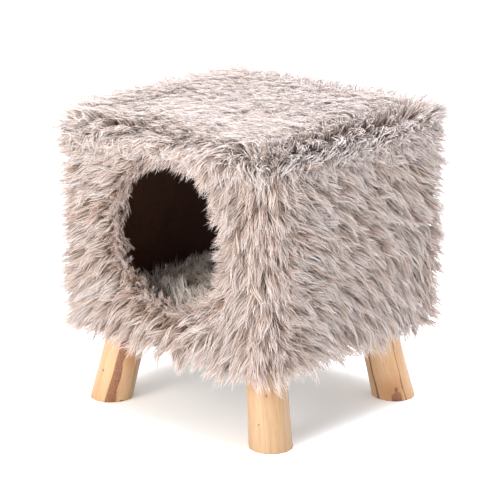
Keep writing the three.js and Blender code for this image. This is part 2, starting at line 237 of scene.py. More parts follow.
def log_material():
    """Peeled softwood log, sanded and clear sealed: pale straw wood with fine grain along the log,
    warmer, darker patches, knots, and strips of inner bark left on where the log was peeled.

    Grain lines are about 1.6 mm apart, bands of wood 14 mm, and torn edges and flecks of bark 2 mm and
    1.4 mm. Each leg's own attributes say where its bark and warm wood are, and by how much its colours
    are brightened: painted light, which makes up for the shade that the cabin casts on the legs.
    """
    material, tree, output = new_material("peeled_softwood_log_sealed")
    grain_place = node(tree, "Attribute", attribute_name="log_grain")
    bark = node(tree, "Attribute", attribute_name="bark_left")
    warm = node(tree, "Attribute", attribute_name="warm_wood")
    # The leg's brightening factor is painted light: it lightens the legs that the cabin shades, and is
    # multiplied into the colours below.
    tone = node(tree, "Attribute", attribute_name="log_tone")
    along = node(tree, "Mapping", {"Vector": grain_place.outputs["Vector"],
                                   "Scale": (1.0, 1.0, ALONG_THE_GRAIN)})
    fine = node(tree, "TexNoise", {"Vector": along.outputs["Vector"], "Scale": scale_for(1.613 * MM),
                                   "Detail": 5.0, "Roughness": 0.6, "Distortion": 0.6})
    wide = node(tree, "TexNoise", {"Vector": along.outputs["Vector"], "Scale": scale_for(14.29 * MM),
                                   "Detail": 3.0, "Distortion": 1.2})
    wood = node(tree, "ValToRGB", {"Fac": wide.outputs["Fac"]},
                stops=[(0.28, "#9c7a56"), (0.42, "#a58662"), (0.58, "#a98c6c"), (0.75, "#a0805c")])
    lines = node(tree, "ValToRGB", {"Fac": fine.outputs["Fac"]},
                 stops=[(0.34, "#9a6f4a"), (0.46, "#ffffff")])
    grained = node(tree, "Mix", {"Factor": 0.3, "A": wood.outputs["Color"], "B": lines.outputs["Color"]},
                   data_type="RGBA", blend_type="MULTIPLY")
    warmth = node(tree, "Math", {0: warm.outputs["Fac"], 1: 0.62}, operation="MULTIPLY",
                  use_clamp=True)
    warmed = node(tree, "Mix", {"Factor": warmth.outputs[0], "A": grained.outputs["Result"],
                                "B": linear("#85592f")}, data_type="RGBA")
    torn = node(tree, "TexNoise", {"Vector": along.outputs["Vector"], "Scale": scale_for(1.923 * MM),
                                   "Detail": 4.0})
    bark_edge = node(tree, "Math", {0: torn.outputs["Fac"], 1: 0.5, 2: -0.25}, operation="MULTIPLY_ADD")
    bark_share = node(tree, "Math", {0: bark.outputs["Fac"], 1: bark_edge.outputs[0]}, operation="ADD")
    bark_mask = node(tree, "ValToRGB", {"Fac": bark_share.outputs[0]}, stops=[(0.42, 0.0), (0.56, 1.0)])
    flecks = node(tree, "TexNoise", {"Vector": grain_place.outputs["Vector"],
                                     "Scale": scale_for(1.429 * MM), "Detail": 3.0})
    bark_colour = node(tree, "ValToRGB", {"Fac": flecks.outputs["Fac"]},
                       stops=[(0.3, "#3f2412"), (0.5, "#6a4023"), (0.7, "#80573b")])
    final = node(tree, "Mix", {"Factor": bark_mask.outputs["Color"], "A": warmed.outputs["Result"],
                               "B": bark_colour.outputs["Color"]}, data_type="RGBA")
    toned = node(tree, "Mix", {"Factor": 1.0, "A": final.outputs["Result"], "B": tone.outputs["Color"]},
                 data_type="RGBA", blend_type="MULTIPLY")
    bump = node(tree, "Bump", {"Height": fine.outputs["Fac"], "Strength": 0.25, "Distance": 0.4 * MM})
    shader = node(tree, "BsdfPrincipled", {
        "Base Color": toned.outputs["Result"], "Roughness": 0.5, "Normal": bump.outputs["Normal"],
        "Coat Weight": 0.12, "Coat Roughness": 0.35})
    finish_material(tree, output, shader)
    return material


def studio_material(colour, glow):
    """Matt white acrylic of a studio table, lit a little from below, so that shadows stay faint."""
    material, tree, output = new_material("matt_acrylic_studio_table")
    shader = node(tree, "BsdfPrincipled", {
        "Base Color": linear(colour), "Roughness": 0.9, "Specular IOR Level": 0.2,
        "Emission Color": linear(colour), "Emission Strength": glow})
    finish_material(tree, output, shader)
    return material


# ---- Mesh helpers ----


def start_fresh():
    """Object mode with nothing selected, so that an operator acts only on what follows."""
    if bpy.context.object and bpy.context.object.mode != "OBJECT":
        bpy.ops.object.mode_set(mode="OBJECT")
    bpy.ops.object.select_all(action="DESELECT")


def keep_only(piece):
    start_fresh()
    piece.select_set(True)
    bpy.context.view_layer.objects.active = piece


def select_where(piece, kind, test):
    """In edit mode, selects the vertices, edges or faces for which test(element) is true."""
    bpy.ops.object.mode_set(mode="EDIT")
    bpy.ops.mesh.select_mode(type={"vertices": "VERT", "edges": "EDGE", "polygons": "FACE"}[kind])
    bpy.ops.mesh.select_all(action="DESELECT")
    bpy.ops.object.mode_set(mode="OBJECT")
    for element in getattr(piece.data, kind):
        element.select = bool(test(element))
    bpy.ops.object.mode_set(mode="EDIT")


def end_heights(piece, edge):
    """The heights of an edge's two ends, the lower first."""
    return sorted(piece.data.vertices[i].co.z for i in edge.vertices)


def edge_rise(piece, edge):
    low, high = end_heights(piece, edge)
    return high - low


def bevel_where(piece, test, width, segments):
    """Bevels the edges for which test(edge) is true."""
    select_where(piece, "edges", test)
    bpy.ops.mesh.bevel(offset=width, segments=segments, affect="EDGES")
    bpy.ops.object.mode_set(mode="OBJECT")


def delete_where(piece, test):
    """Deletes the faces for which test(face) is true."""
    select_where(piece, "polygons", test)
    bpy.ops.mesh.delete(type="FACE")
    bpy.ops.object.mode_set(mode="OBJECT")


def box_piece(middle, size):
    """A box of this size round its middle, with its place in its mesh."""
    start_fresh()
    bpy.ops.mesh.primitive_cube_add(size=1.0, location=middle)
    piece = bpy.context.object
    piece.scale = size
    bpy.ops.object.transform_apply(location=True, rotation=True, scale=True)
    return piece


def settle(piece, name, material):
    """Names a piece, gives it its one material and puts its place in its mesh."""
    if bpy.context.object and bpy.context.object.mode != "OBJECT":
        bpy.ops.object.mode_set(mode="OBJECT")
    keep_only(piece)
    bpy.ops.object.transform_apply(location=True, rotation=True, scale=True)
    piece.name = name
    piece.data.name = name
    piece.data.materials.clear()
    piece.data.materials.append(material)
    return piece


def belongs(piece, body, slot, *nodes):
    """Attaches a piece to the body it moves with and hides the nodes that it stands for; slot, for its
    finish, is not used.
    """
    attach(piece, body)
    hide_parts(*nodes)


def apply_modifier(piece, kind, **settings):
    keep_only(piece)
    modifier = piece.modifiers.new(kind.lower(), kind)
    for name, value in settings.items():
        setattr(modifier, name, value)
    bpy.ops.object.modifier_apply(modifier=modifier.name)


def cut_entrance(cloth):
    """Cuts the round entrance out of a cloth at the front of the cabin."""
    start_fresh()
    bpy.ops.mesh.primitive_cylinder_add(
        vertices=96, radius=ENTRANCE_RADIUS, depth=CUTTER_DEPTH,
        location=(0, -HALF_Y, ENTRANCE_Z), rotation=(math.pi / 2, 0, 0))
    cutter = bpy.context.object
    apply_modifier(cloth, "BOOLEAN", operation="DIFFERENCE", object=cutter, solver="EXACT")
    bpy.data.objects.remove(cutter)


def positions(piece):
    flat = np.empty(len(piece.data.vertices) * 3, np.float32)
    piece.data.vertices.foreach_get("co", flat)
    return flat.reshape(-1, 3).astype(float)


def set_positions(piece, points):
    piece.data.vertices.foreach_set("co", np.asarray(points, np.float32).ravel())
    piece.data.update()


def mesh_from_arrays(name, points, triangles, maps, material):
    """A smooth-shaded triangle mesh from arrays, with the strand map of its corners."""
    mesh = bpy.data.meshes.new(name)
    mesh.vertices.add(len(points))
    mesh.vertices.foreach_set("co", np.asarray(points, np.float32).ravel())
    mesh.loops.add(triangles.size)
    mesh.loops.foreach_set("vertex_index", triangles.ravel().astype(np.int32))
    mesh.polygons.add(len(triangles))
    mesh.polygons.foreach_set("loop_start", np.arange(0, triangles.size, 3, dtype=np.int32))
    mesh.polygons.foreach_set("use_smooth", np.ones(len(triangles), bool))
    layer = mesh.uv_layers.new(name="OFBake")
    layer.uv.foreach_set("vector", np.asarray(maps[triangles.ravel()], np.float32).ravel())
    mesh.update(calc_edges=True)
    mesh.validate()
    mesh.materials.append(material)
    piece = bpy.data.objects.new(name, mesh)
    bpy.context.scene.collection.objects.link(piece)
    return piece


# ---- Soft noise for the lie of the pile ----


def ramp(value, start, width):
    """0 up to start, rising evenly to 1 where value is width past it."""
    return np.clip((value - start) / width, 0, 1)


def unit(vectors):
    return vectors / np.maximum(np.linalg.norm(vectors, axis=-1, keepdims=True), 1e-9)


# The noise repeats after this many cells, and its origin is moved away from the middle of the cabin.
NOISE_CELLS = 41
NOISE_SHIFT = 100.0


def soft_noise(seed, place, cell):
    """Smooth noise from -1 to 1 at each row of place, with one bump about every cell metres.

    Each use has a seed of its own, so that no two patterns are alike.
    """
    table = np.random.default_rng(seed).uniform(-1, 1, (NOISE_CELLS,) * 3)
    scaled = np.asarray(place) / cell + NOISE_SHIFT
    low = np.floor(scaled).astype(int)
    part = scaled - low
    part = part * part * (3 - 2 * part)
    total = 0.0
    for corner in np.ndindex(2, 2, 2):
        weight = np.prod(np.where(corner, part, 1 - part), axis=-1)
        index = (low + corner) % NOISE_CELLS
        total = total + weight * table[index[..., 0], index[..., 1], index[..., 2]]
    return total


# ---- The wrap: where the backing cloth lies ----

HALF_X = CABIN_HALF.x + BACKING_OFFSET
HALF_Y = CABIN_HALF.y + BACKING_OFFSET
STRAIGHT_X = 2 * (HALF_X - CORNER_RADIUS)
STRAIGHT_Y = 2 * (HALF_Y - CORNER_RADIUS)
QUARTER = CORNER_RADIUS * math.pi / 2
GIRTH = 2 * (STRAIGHT_X + STRAIGHT_Y) + 4 * QUARTER
RUN_LENGTHS = [STRAIGHT_X, QUARTER, STRAIGHT_Y, QUARTER] * 2
RUN_STARTS = np.concatenate([[0.0], np.cumsum(RUN_LENGTHS)])
# The middle of each upright corner, along the girth.
CORNER_MIDDLES = RUN_STARTS[1:9:2] + QUARTER / 2


def wall_surface(along, height):
    """Points, outward normals and sideways directions of the wall wrap.

    along goes round the cabin from the front wall's left end: front, right, back, left.
    """
    along = np.mod(along, GIRTH)
    run = np.clip(np.searchsorted(RUN_STARTS, along, side="right") - 1, 0, 7)
    into = along - RUN_STARTS[run]
    wall = run // 2
    cx, cy = HALF_X - CORNER_RADIUS, HALF_Y - CORNER_RADIUS
    starts = np.array([[-cx, -HALF_Y], [HALF_X, -cy], [cx, HALF_Y], [-HALF_X, cy]])
    ways = np.array([[1.0, 0.0], [0.0, 1.0], [-1.0, 0.0], [0.0, -1.0]])
    centres = np.array([[cx, -cy], [cx, cy], [-cx, cy], [-cx, -cy]])
    straight = run % 2 == 0
    turn = np.where(straight, 0.0, into / CORNER_RADIUS) + wall * math.pi / 2
    outward = np.stack([np.sin(turn), -np.cos(turn)], -1)
    sideways = np.stack([np.cos(turn), np.sin(turn)], -1)
    on_straight = starts[wall] + ways[wall] * into[:, None]
    on_corner = centres[wall] + outward * CORNER_RADIUS
    flat = np.where(straight[:, None], on_straight, on_corner)
    zero = np.zeros((len(along), 1))
    points = np.concatenate([flat, np.asarray(height)[:, None]], 1)
    return points, np.concatenate([outward, zero], 1), np.concatenate([sideways, zero], 1)


def fanned(along):
    """Outward and sideways directions for the pile, which turn slowly round each upright corner."""
    gaps = (np.mod(along, GIRTH)[:, None] - CORNER_MIDDLES + GIRTH / 2) % GIRTH - GIRTH / 2
    nearest = np.argmin(np.abs(gaps), axis=1)
    gap = gaps[np.arange(len(along)), nearest]
    turn = (nearest + 0.5 + 0.5 * np.clip(gap / CORNER_FAN, -1, 1)) * math.pi / 2
    zero = np.zeros(len(along))
    outward = np.stack([np.sin(turn), -np.cos(turn), zero], 1)
    return outward, np.stack([np.cos(turn), np.sin(turn), zero], 1)


# The roof cloth laps over the top of the wall wrap, and rolls down by a quarter turn.
ROOF_LAP = 1.5 * MM
ROOF_RIM = ROOF_EDGE_RADIUS * math.pi / 2
ROOF_HALF = Vector((HALF_X + ROOF_LAP, HALF_Y + ROOF_LAP))
ROOF_FLAT = Vector((ROOF_HALF.x - ROOF_EDGE_RADIUS, ROOF_HALF.y - ROOF_EDGE_RADIUS))
ROOF_Z = WALL_TOP_Z + BACKING_OFFSET


def roof_surface(x, y):
    """Points and normals of the roof cloth, which rolls over the top edge all round.

    x and y are measured along the cloth. A point past the rolled edge comes back as not a number.
    """
    over = np.stack([np.maximum(np.abs(x) - ROOF_FLAT.x, 0) * np.sign(x),
                     np.maximum(np.abs(y) - ROOF_FLAT.y, 0) * np.sign(y)], -1)
    past = np.linalg.norm(over, axis=-1)
    outward = over / np.maximum(past, 1e-9)[:, None]
    angle = np.where(past > ROOF_RIM, np.nan, past / ROOF_EDGE_RADIUS)
    base = np.stack([np.clip(x, -ROOF_FLAT.x, ROOF_FLAT.x), np.clip(y, -ROOF_FLAT.y, ROOF_FLAT.y)], -1)
    flat = base + outward * (ROOF_EDGE_RADIUS * np.sin(angle))[:, None]
    z = ROOF_Z - ROOF_EDGE_RADIUS * (1 - np.cos(angle))
    normal = np.concatenate([outward * np.sin(angle)[:, None], np.cos(angle)[:, None]], 1)
    return np.concatenate([flat, z[:, None]], 1), normal


# ---- Growing pile ----

# How far along its length each ring of a strand lies, and how wide it is there.
LONG_HAIR = ((0.0, 0.6), (0.32, 0.95), (0.58, 1.0), (0.8, 0.7))
SHORT_HAIR = ((0.0, 0.7), (0.36, 1.0), (0.7, 0.72))
# Each ring is three-cornered, and flatter than it is wide.
RING = np.array([[0.0, 1.0], [-0.87, -0.5], [0.87, -0.5]])
FLATNESS = 0.6
RING_SIZE = len(RING)
# A strand's tone stays clear of the ends of its map, where each corner has its own column.
TONE_ENDS = (0.03, 0.95)
TONE_COLUMNS = np.array([0.0, 0.006, 0.012])
# How strands differ within a lock: their tone, the tones of the brown ones, how far they roll about
# their length, and how strongly their ends go to the full length.
STRAND_TONE = 0.13
BROWN_TONES = (0.0, 0.35)
MOST_ROLL = 0.8
END_POWER = 0.8
# The knee, half way along, is drawn to the lock's middle and scattered less than the tip.
KNEE_DRAW = 0.15
KNEE_SCATTER = 0.3
# A curl rises and falls this share of its swing to the sides.
CURL_RISE = 0.4


def strand_triangles(rings):
    """The faces of one closed strand: its butt, its sides and its point."""
    faces = [(0, 2, 1)]
    for ring in range(rings - 1):
        for side in range(RING_SIZE):
            a = ring * RING_SIZE + side
            b = ring * RING_SIZE + (side + 1) % RING_SIZE
            faces += [(a, b, b + RING_SIZE), (a, b + RING_SIZE, a + RING_SIZE)]
    last = (rings - 1) * RING_SIZE
    tip = rings * RING_SIZE
    faces += [(last + side, last + (side + 1) % RING_SIZE, tip) for side in range(RING_SIZE)]
    return np.array(faces)


def strands_mesh(name, path, across, shape, width, tone, roll, material):
    """One mesh of closed tapered strands. path is (strands, steps, 3), across a rough side vector."""
    count = len(path)
    steps, widths = np.array(shape).T
    ahead = np.empty_like(path[:, :-1])
    ahead[:, 0] = path[:, 1] - path[:, 0]
    ahead[:, 1:] = path[:, 2:] - path[:, :-2]
    ahead = unit(ahead)
    above = unit(np.cross(across[:, None, :], ahead))
    side = np.cross(ahead, above)
    cos, sin = np.cos(roll)[:, None, None], np.sin(roll)[:, None, None]
    turned_side, turned_above = side * cos + above * sin, above * cos - side * sin
    reach = (width[:, None] * widths / 2)[:, :, None, None]
    offset = (turned_side[:, :, None, :] * RING[:, 0][:, None]
              + turned_above[:, :, None, :] * RING[:, 1][:, None] * FLATNESS) * reach
    rings = path[:, :-1, None, :] + offset
    points = np.concatenate([rings.reshape(count, -1, 3), path[:, -1:, :]], 1)
    pattern = strand_triangles(len(steps))
    triangles = (pattern[None] + (np.arange(count) * points.shape[1])[:, None, None]).reshape(-1, 3)
    share = np.clip(tone, *TONE_ENDS)[:, None, None] + TONE_COLUMNS
    u = np.broadcast_to(share, (count, len(steps), RING_SIZE)).reshape(count, -1)
    u = np.concatenate([u, share[:, 0, 1:2]], 1)
    v = np.concatenate([np.repeat(steps, RING_SIZE), [1.0]])
    maps = np.stack([u, np.broadcast_to(v, u.shape)], -1).reshape(-1, 2)
    return mesh_from_arrays(name, points.reshape(-1, 3), triangles, maps, material)


def hold_in(path, outline, room):
    """Bends back the hairs that stray past an outline, so that none goes further past it than room."""
    past = np.maximum(np.abs(path) - outline, 0)
    return np.where(past > 0, np.sign(path) * (outline + room * np.tanh(past / room)), path)


def grow(name, rng, locks, roots, lock_of, look, material):
    """Grows one piece of pile, in its look: the lengths, widths and shares of LONG_PILE or UNDERFUR.

    locks holds centre, normal, flow, length, lift and tone for each lock; roots are the strands'
    roots, and lock_of says which lock each belongs to. A lock's strands run together to its tip.
    """
    count = len(roots)
    centre, normal, flow = (locks[key][lock_of] for key in ("centre", "normal", "flow"))
    length, lift, tone = (locks[key][lock_of] for key in ("length", "lift", "tone"))
    across = unit(np.cross(flow, normal))
    start_lift = (lift + look["bend"])[:, None]
    lift = lift[:, None]
    reach = length[:, None]
    to_knee = reach * 0.5 * (flow * np.cos(start_lift) + normal * np.sin(start_lift))
    to_tip = reach * (flow * np.cos(lift) + normal * np.sin(lift))
    to_tip[:, 2] -= look["sag"] * length
    scatter = rng.normal(0, 1, (count, 3)) * look["scatter"]
    gather = rng.uniform(*look["gather"], count)[:, None]
    tip = centre + to_tip + (roots - centre) * gather + scatter
    knee = roots + to_knee + (centre - roots) * KNEE_DRAW + scatter * KNEE_SCATTER
    stop = rng.uniform(look["shortest"], 1.0, count) ** END_POWER
    steps = np.array([place for place, _ in look["shape"]] + [1.0])
    t = (steps[None, :] * stop[:, None])[:, :, None]
    path = (1 - t) ** 2 * roots[:, None] + 2 * t * (1 - t) * knee[:, None] + t ** 2 * tip[:, None]
    swing = rng.uniform(-1, 1, (len(locks["length"]), 3))[lock_of]
    phase = swing[:, 1][:, None] * math.pi + t[:, :, 0] * look["curl_turns"] * 2 * math.pi
    sideways = look["curl"] * (np.sin(phase) - np.sin(phase[:, :1])) * swing[:, :1]
    upwards = look["curl"] * CURL_RISE * (np.cos(phase) - np.cos(phase[:, :1])) * swing[:, 2:]
    path = path + across[:, None] * sideways[:, :, None] + normal[:, None] * upwards[:, :, None]
    stray = rng.normal(0, 1, (count, 1, 3)) * look["stray"] * t * (1.1 - t)
    path = hold_in(path + stray, *look["outline"])
    width = rng.uniform(*look["width"], count)
    strand_tone = tone + rng.normal(0, STRAND_TONE, count)
    brown = rng.random(count) < look["brown_share"]
    strand_tone = np.where(brown, rng.uniform(*BROWN_TONES, count), strand_tone)
    roll = rng.uniform(-MOST_ROLL, MOST_ROLL, count)
    piece = strands_mesh(name, path, across, look["shape"], width, strand_tone, roll, material)
    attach(piece, look["body"])
    return piece


# Every other row of cells is moved by this share of a cell to each side, and each point strays by
# up to this share of the spacing.
ROW_SHIFT = 0.25
CELL_STRAY = 0.38


def scatter_cells(rng, low, high, spacing):
    """Jittered points, about one to each square of the given spacing."""
    columns = max(1, round((high[0] - low[0]) / spacing))
    rows = max(1, round((high[1] - low[1]) / spacing))
    x, y = np.meshgrid(np.arange(columns) + 0.5, np.arange(rows) + 0.5)
    shift = np.where(np.arange(rows) % 2, ROW_SHIFT, -ROW_SHIFT)[:, None]
    x = low[0] + (x + shift) * (high[0] - low[0]) / columns
    y = low[1] + y * (high[1] - low[1]) / rows
    points = np.stack([x.ravel(), y.ravel()], 1)
    return points + rng.uniform(-CELL_STRAY, CELL_STRAY, points.shape) * spacing


def disc(rng, count, radius):
    """Points spread evenly over a disc round the origin."""
    angle = rng.uniform(0, 2 * math.pi, count)
    out = radius * np.sqrt(rng.random(count))
    return np.stack([np.cos(angle), np.sin(angle)], 1) * out[:, None]


# The lie of the wall pile at places round the cabin: degrees from straight down towards the next
# wall, near the roof, half way down and near the hem. The places are shares of each wall in turn.
WALL_LIE = [
    (0.00, (-84, -60, -48)),
    (0.35, (-58, -38, -28)),
    (0.75, (-18, -8, -8)),
    (0.97, (-6, 0, -4)),
    (1.04, (46, 68, 44)),
    (1.30, (46, 60, 30)),
    (1.65, (38, 42, 14)),
    (1.95, (48, 18, 6)),
    (2.30, (24, 14, 8)),
    (2.70, (-14, -10, -4)),
    (3.00, (-24, -14, -8)),
    (3.50, (-34, -26, -14)),
    (4.00, (-84, -60, -48)),
]
# The pile's tone wanders in patches this wide.
TONE_PATCH = 30 * MM
# How far the lie wanders, in wide and in narrow swirls.
LIE_NOISE = math.radians(17)
WIDE_SWIRL, NARROW_SWIRL = 55 * MM, 24 * MM
# Half an upright corner, as a share of a wall.
HALF_CORNER = 0.03


def wall_share(along):
    """How many walls along a place is, from 0 to 4, with each corner counted to its halves."""
    ends = [0.0, *CORNER_MIDDLES, GIRTH]
    return np.interp(np.mod(along, GIRTH), ends, [HALF_CORNER, 1.0, 2.0, 3.0, 4.0, 4.0 + HALF_CORNER])


# The shoulders of the entrance, as sines of places round it, and the distance from the middle at
# which what lies over it ends, each as a start and a width.
SHOULDERS = (0.25, 0.625)
OVER_ENTRANCE = (35 * MM, 70 * MM)


def rise_share(rise):
    """From 0 below the shoulders of the entrance to 1 near its top, for the sine of a place."""
    return ramp(rise, *SHOULDERS)


def above_entrance(points):
    """1 over the middle of the entrance, falling to 0 at its sides, by each point's x."""
    return 1 - ramp(np.abs(points[:, 0]), *OVER_ENTRANCE)


# Round the entrance the pile turns inwards and a little down, over this distance and by this share.
RIM_TURN = 30 * MM
INWARD_DROP, INWARD_SHARE = 0.6, 0.4


def wall_flow(along, points, sideways):
    """Which way the pile lies on the walls, and how far each point is from the entrance's middle.

    It is combed down and sideways, turns inwards at the entrance, and lies upwards over its top.
    """
    share = wall_share(along)
    places = [place for place, _ in WALL_LIE]
    near_roof, half_way, near_hem = (
        np.interp(share, places, [lie[level] for _, lie in WALL_LIE]) for level in range(3))
    drop = (WALL_TOP_Z - points[:, 2]) / (WALL_TOP_Z - UNDERSIDE_Z)
    upper = near_roof + (half_way - near_roof) * np.clip(drop * 2, 0, 1)
    angle = np.radians(np.where(drop < 0.5, upper, half_way + (near_hem - half_way) * (2 * drop - 1)))
    swirl = soft_noise(11, points, WIDE_SWIRL) + 0.95 * soft_noise(12, points, NARROW_SWIRL)
    angle = angle + LIE_NOISE * swirl
    down = np.zeros_like(points)
    down[:, 2] = -1
    flow = sideways * np.sin(angle)[:, None] + down * np.cos(angle)[:, None]
    aside = np.stack([points[:, 0], np.zeros(len(points)), points[:, 2] - ENTRANCE_Z], 1)
    out = np.linalg.norm(aside, axis=1)
    away = aside / np.maximum(out, 1e-6)[:, None]
    inward = unit(down * INWARD_DROP - away)
    near = np.where(points[:, 1] < 0, 1 - ramp(out, ENTRANCE_RADIUS, RIM_TURN), 0)[:, None]
    flow = unit(flow * (1 - INWARD_SHARE * near) + inward * INWARD_SHARE * near)
    upward = near * rise_share(away[:, 2:])
    return unit(flow * (1 - upward) + away * upward), out


# Locks are rooted this far inside the hem and the roof edge, and strands a little further out.
HEM_ROOM, TOP_ROOM, STRAND_ROOM = 1 * MM, 2 * MM, 2 * MM
# Within this distance of the entrance hairs are shorter, down to a share that is less at its top,
# and they stand up more.
RIM_FADE = 34 * MM
RIM_LENGTH, LESS_AT_TOP = 0.46, 0.12
RIM_LIFT = math.radians(36)
MOST_LIFT = math.radians(88)
# Near the hem the hairs are shorter, and near the roof they stand up more.
HEM_START, HEM_FADE, HEM_LENGTH = 40 * MM, 60 * MM, 0.66
TOP_FADE = 40 * MM
TOP_LIFT = math.radians(24)


def wall_locks(rng, first, last, look):
    """Locks and strand roots for the stretch of wall wrap from first to last along the girth."""
    low_z, high_z = UNDERSIDE_Z + HEM_ROOM, WALL_TOP_Z - TOP_ROOM
    cells = scatter_cells(rng, (first, low_z), (last, high_z), look["spacing"])
    points = wall_surface(cells[:, 0], cells[:, 1])[0]
    normals, sideways = fanned(cells[:, 0])
    flow, out = wall_flow(cells[:, 0], points, sideways)
    at_front = points[:, 1] < -HALF_Y + CORNER_RADIUS
    kept = ~(at_front & (out < ENTRANCE_RADIUS + look["rim_gap"]))
    cells, points, normals, flow, out = (a[kept] for a in (cells, points, normals, flow, out))
    at_front = at_front[kept]
    count = len(cells)
    length = rng.uniform(*look["length"], count)
    away = ramp(out, ENTRANCE_RADIUS, RIM_FADE)
    top = ramp(points[:, 2], ENTRANCE_Z, ENTRANCE_RADIUS)
    shortest = RIM_LENGTH - LESS_AT_TOP * top
    length = np.where(at_front, length * (shortest + (1 - shortest) * away), length)
    length = length * np.clip((points[:, 2] - (UNDERSIDE_Z - HEM_START)) / HEM_FADE, HEM_LENGTH, 1)
    lift = np.radians(rng.uniform(*look["lift"], count))
    lift = np.where(at_front, lift + RIM_LIFT * (1 - away), lift)
    lift = np.minimum(lift, MOST_LIFT)
    lift = lift + TOP_LIFT * ramp(points[:, 2], WALL_TOP_Z - TOP_FADE, TOP_FADE)
    tone = look["tone"] + 0.13 * soft_noise(21, points, TONE_PATCH) + rng.normal(0, 0.08, count)
    flow = unit(flow + rng.normal(0, 0.24, flow.shape))
    locks = {"centre": points, "normal": normals, "flow": flow, "length": length, "lift": lift,
             "tone": tone}
    lock_of = np.repeat(np.arange(count), look["strands"])
    spots = cells[lock_of] + disc(rng, len(lock_of), look["root_spread"])
    spots[:, 1] = np.clip(spots[:, 1], low_z - STRAND_ROOM, high_z)
    roots = wall_surface(spots[:, 0], spots[:, 1])[0]
    return locks, roots, lock_of


# Where the roof pile turns over its side and back edges, stands up at its back and left ones, and
# gets short over the entrance, each as a start and a width in shares of half the roof.
SIDE_TURN, BACK_TURN, EDGE_STAND, SHORT_FRONT = (0.8, 0.2), (0.78, 0.22), (0.72, 0.2), (0.72, 0.25)
RIGHT_PULL, LEFT_PULL, BACK_PULL = 0.9, 0.6, 1.3
# How many degrees the locks stand up more towards the back, and at the back and left edges.
BACK_LIFT, EDGE_LIFT = 8, 30


def roof_flow(points):
    """The roof pile is combed to the front, fans a little to each side and rolls over the edges."""
    x, y = points[:, 0] / ROOF_HALF.x, points[:, 1] / ROOF_HALF.y
    noise = soft_noise(31, points, 60 * MM) + 0.7 * soft_noise(32, points, 25 * MM)
    angle = np.radians(5 - 5 * x) + 0.8 * LIE_NOISE * noise
    flow = np.stack([np.sin(angle), -np.cos(angle), np.zeros(len(points))], 1)
    flow[:, 0] += ramp(np.abs(x), *SIDE_TURN) * np.where(x > 0, RIGHT_PULL, -LEFT_PULL)
    flow[:, 1] += ramp(y, *BACK_TURN) * BACK_PULL
    return unit(flow)


def roof_locks(rng, look):
    """Locks and strand roots for the roof cloth: they stand up at its back and left edges, and are
    short over the entrance, so that none hangs across it."""
    reach = ROOF_FLAT.x + ROOF_RIM, ROOF_FLAT.y + ROOF_RIM
    cells = scatter_cells(rng, (-reach[0], -reach[1]), reach, look["spacing"])
    points, normals = roof_surface(cells[:, 0], cells[:, 1])
    kept = np.isfinite(points[:, 2])
    cells, points, normals = cells[kept], points[kept], normals[kept]
    count = len(cells)
    flow = roof_flow(points) + rng.normal(0, 0.13, points.shape)
    flow = unit(flow - normals * (flow * normals).sum(1, keepdims=True))
    over_hole = above_entrance(points) * ramp(-points[:, 1] / ROOF_HALF.y, *SHORT_FRONT)
    back = np.clip(points[:, 1] / ROOF_HALF.y, 0, 1)
    left = np.clip(-points[:, 0] / ROOF_HALF.x, 0, 1)
    edge = ramp(np.maximum(back, left), *EDGE_STAND)
    # The tone falls towards the left edge: painted shade, which tones down the extra light that the
    # hairs at that edge catch.
    tone = look["tone"] - 0.1 * left + 0.1 * soft_noise(22, points, TONE_PATCH)
    length = rng.uniform(*look["length"], count) * (1 + 0.08 * edge - 0.55 * over_hole)
    lift = np.radians(rng.uniform(*look["lift"], count) + BACK_LIFT * back + EDGE_LIFT * edge)
    locks = {"centre": points, "normal": normals, "flow": flow, "length": length, "lift": lift,
             "tone": tone + rng.normal(0, 0.07, count)}
    lock_of = np.repeat(np.arange(count), look["strands"])
    spots = cells[lock_of] + disc(rng, len(lock_of), look["root_spread"])
    roots = roof_surface(spots[:, 0], spots[:, 1])[0]
    inside = np.isfinite(roots[:, 2])
    return locks, roots[inside], lock_of[inside]


# ---- Settings a user would change ----


class PlushSettings(bpy.types.PropertyGroup):
    pile_length: FloatProperty(
        name="Pile Length", description="Length of the longest hairs", default=54 * MM, min=10 * MM,
        max=60 * MM, subtype="DISTANCE", unit="LENGTH")
    under_length: FloatProperty(
        name="Underfur Length", description="Length of the short hairs under the long pile",
        default=31 * MM, min=5 * MM, max=40 * MM, subtype="DISTANCE", unit="LENGTH")
    hair_width: FloatProperty(
        name="Hair Width", description="Thickness of a bundle of hairs drawn as one strand",
        default=1.3 * MM, min=0.3 * MM, max=3 * MM, subtype="DISTANCE", unit="LENGTH")
    seed: IntProperty(name="Seed", description="Changes the scatter of the locks", default=7)


class LegSettings(bpy.types.PropertyGroup):
    chamfer: FloatProperty(
        name="Foot Chamfer", description="Bevel on the sawn foot of each log leg", default=1.2 * MM,
        min=0.0, max=5 * MM, subtype="DISTANCE", unit="LENGTH")
    lumps: FloatProperty(
        name="Lumps", description="How far the peeled log strays from round", default=1.1 * MM,
        min=0.0, max=4 * MM, subtype="DISTANCE", unit="LENGTH")


class CushionSettings(bpy.types.PropertyGroup):
    pressure: FloatProperty(
        name="Stuffing Pressure", description="Pressure of the filling while the cushion swells",
        default=4.0, min=0.0, max=20.0)
    most_swell: FloatProperty(
        name="Most Swell", description="Furthest that any point may move while it swells",
        default=7 * MM, min=0.0, max=30 * MM, subtype="DISTANCE", unit="LENGTH")
    pile_length: FloatProperty(
        name="Pile Length", description="Length of the cushion's hairs", default=29 * MM, min=5 * MM,
        max=40 * MM, subtype="DISTANCE", unit="LENGTH")


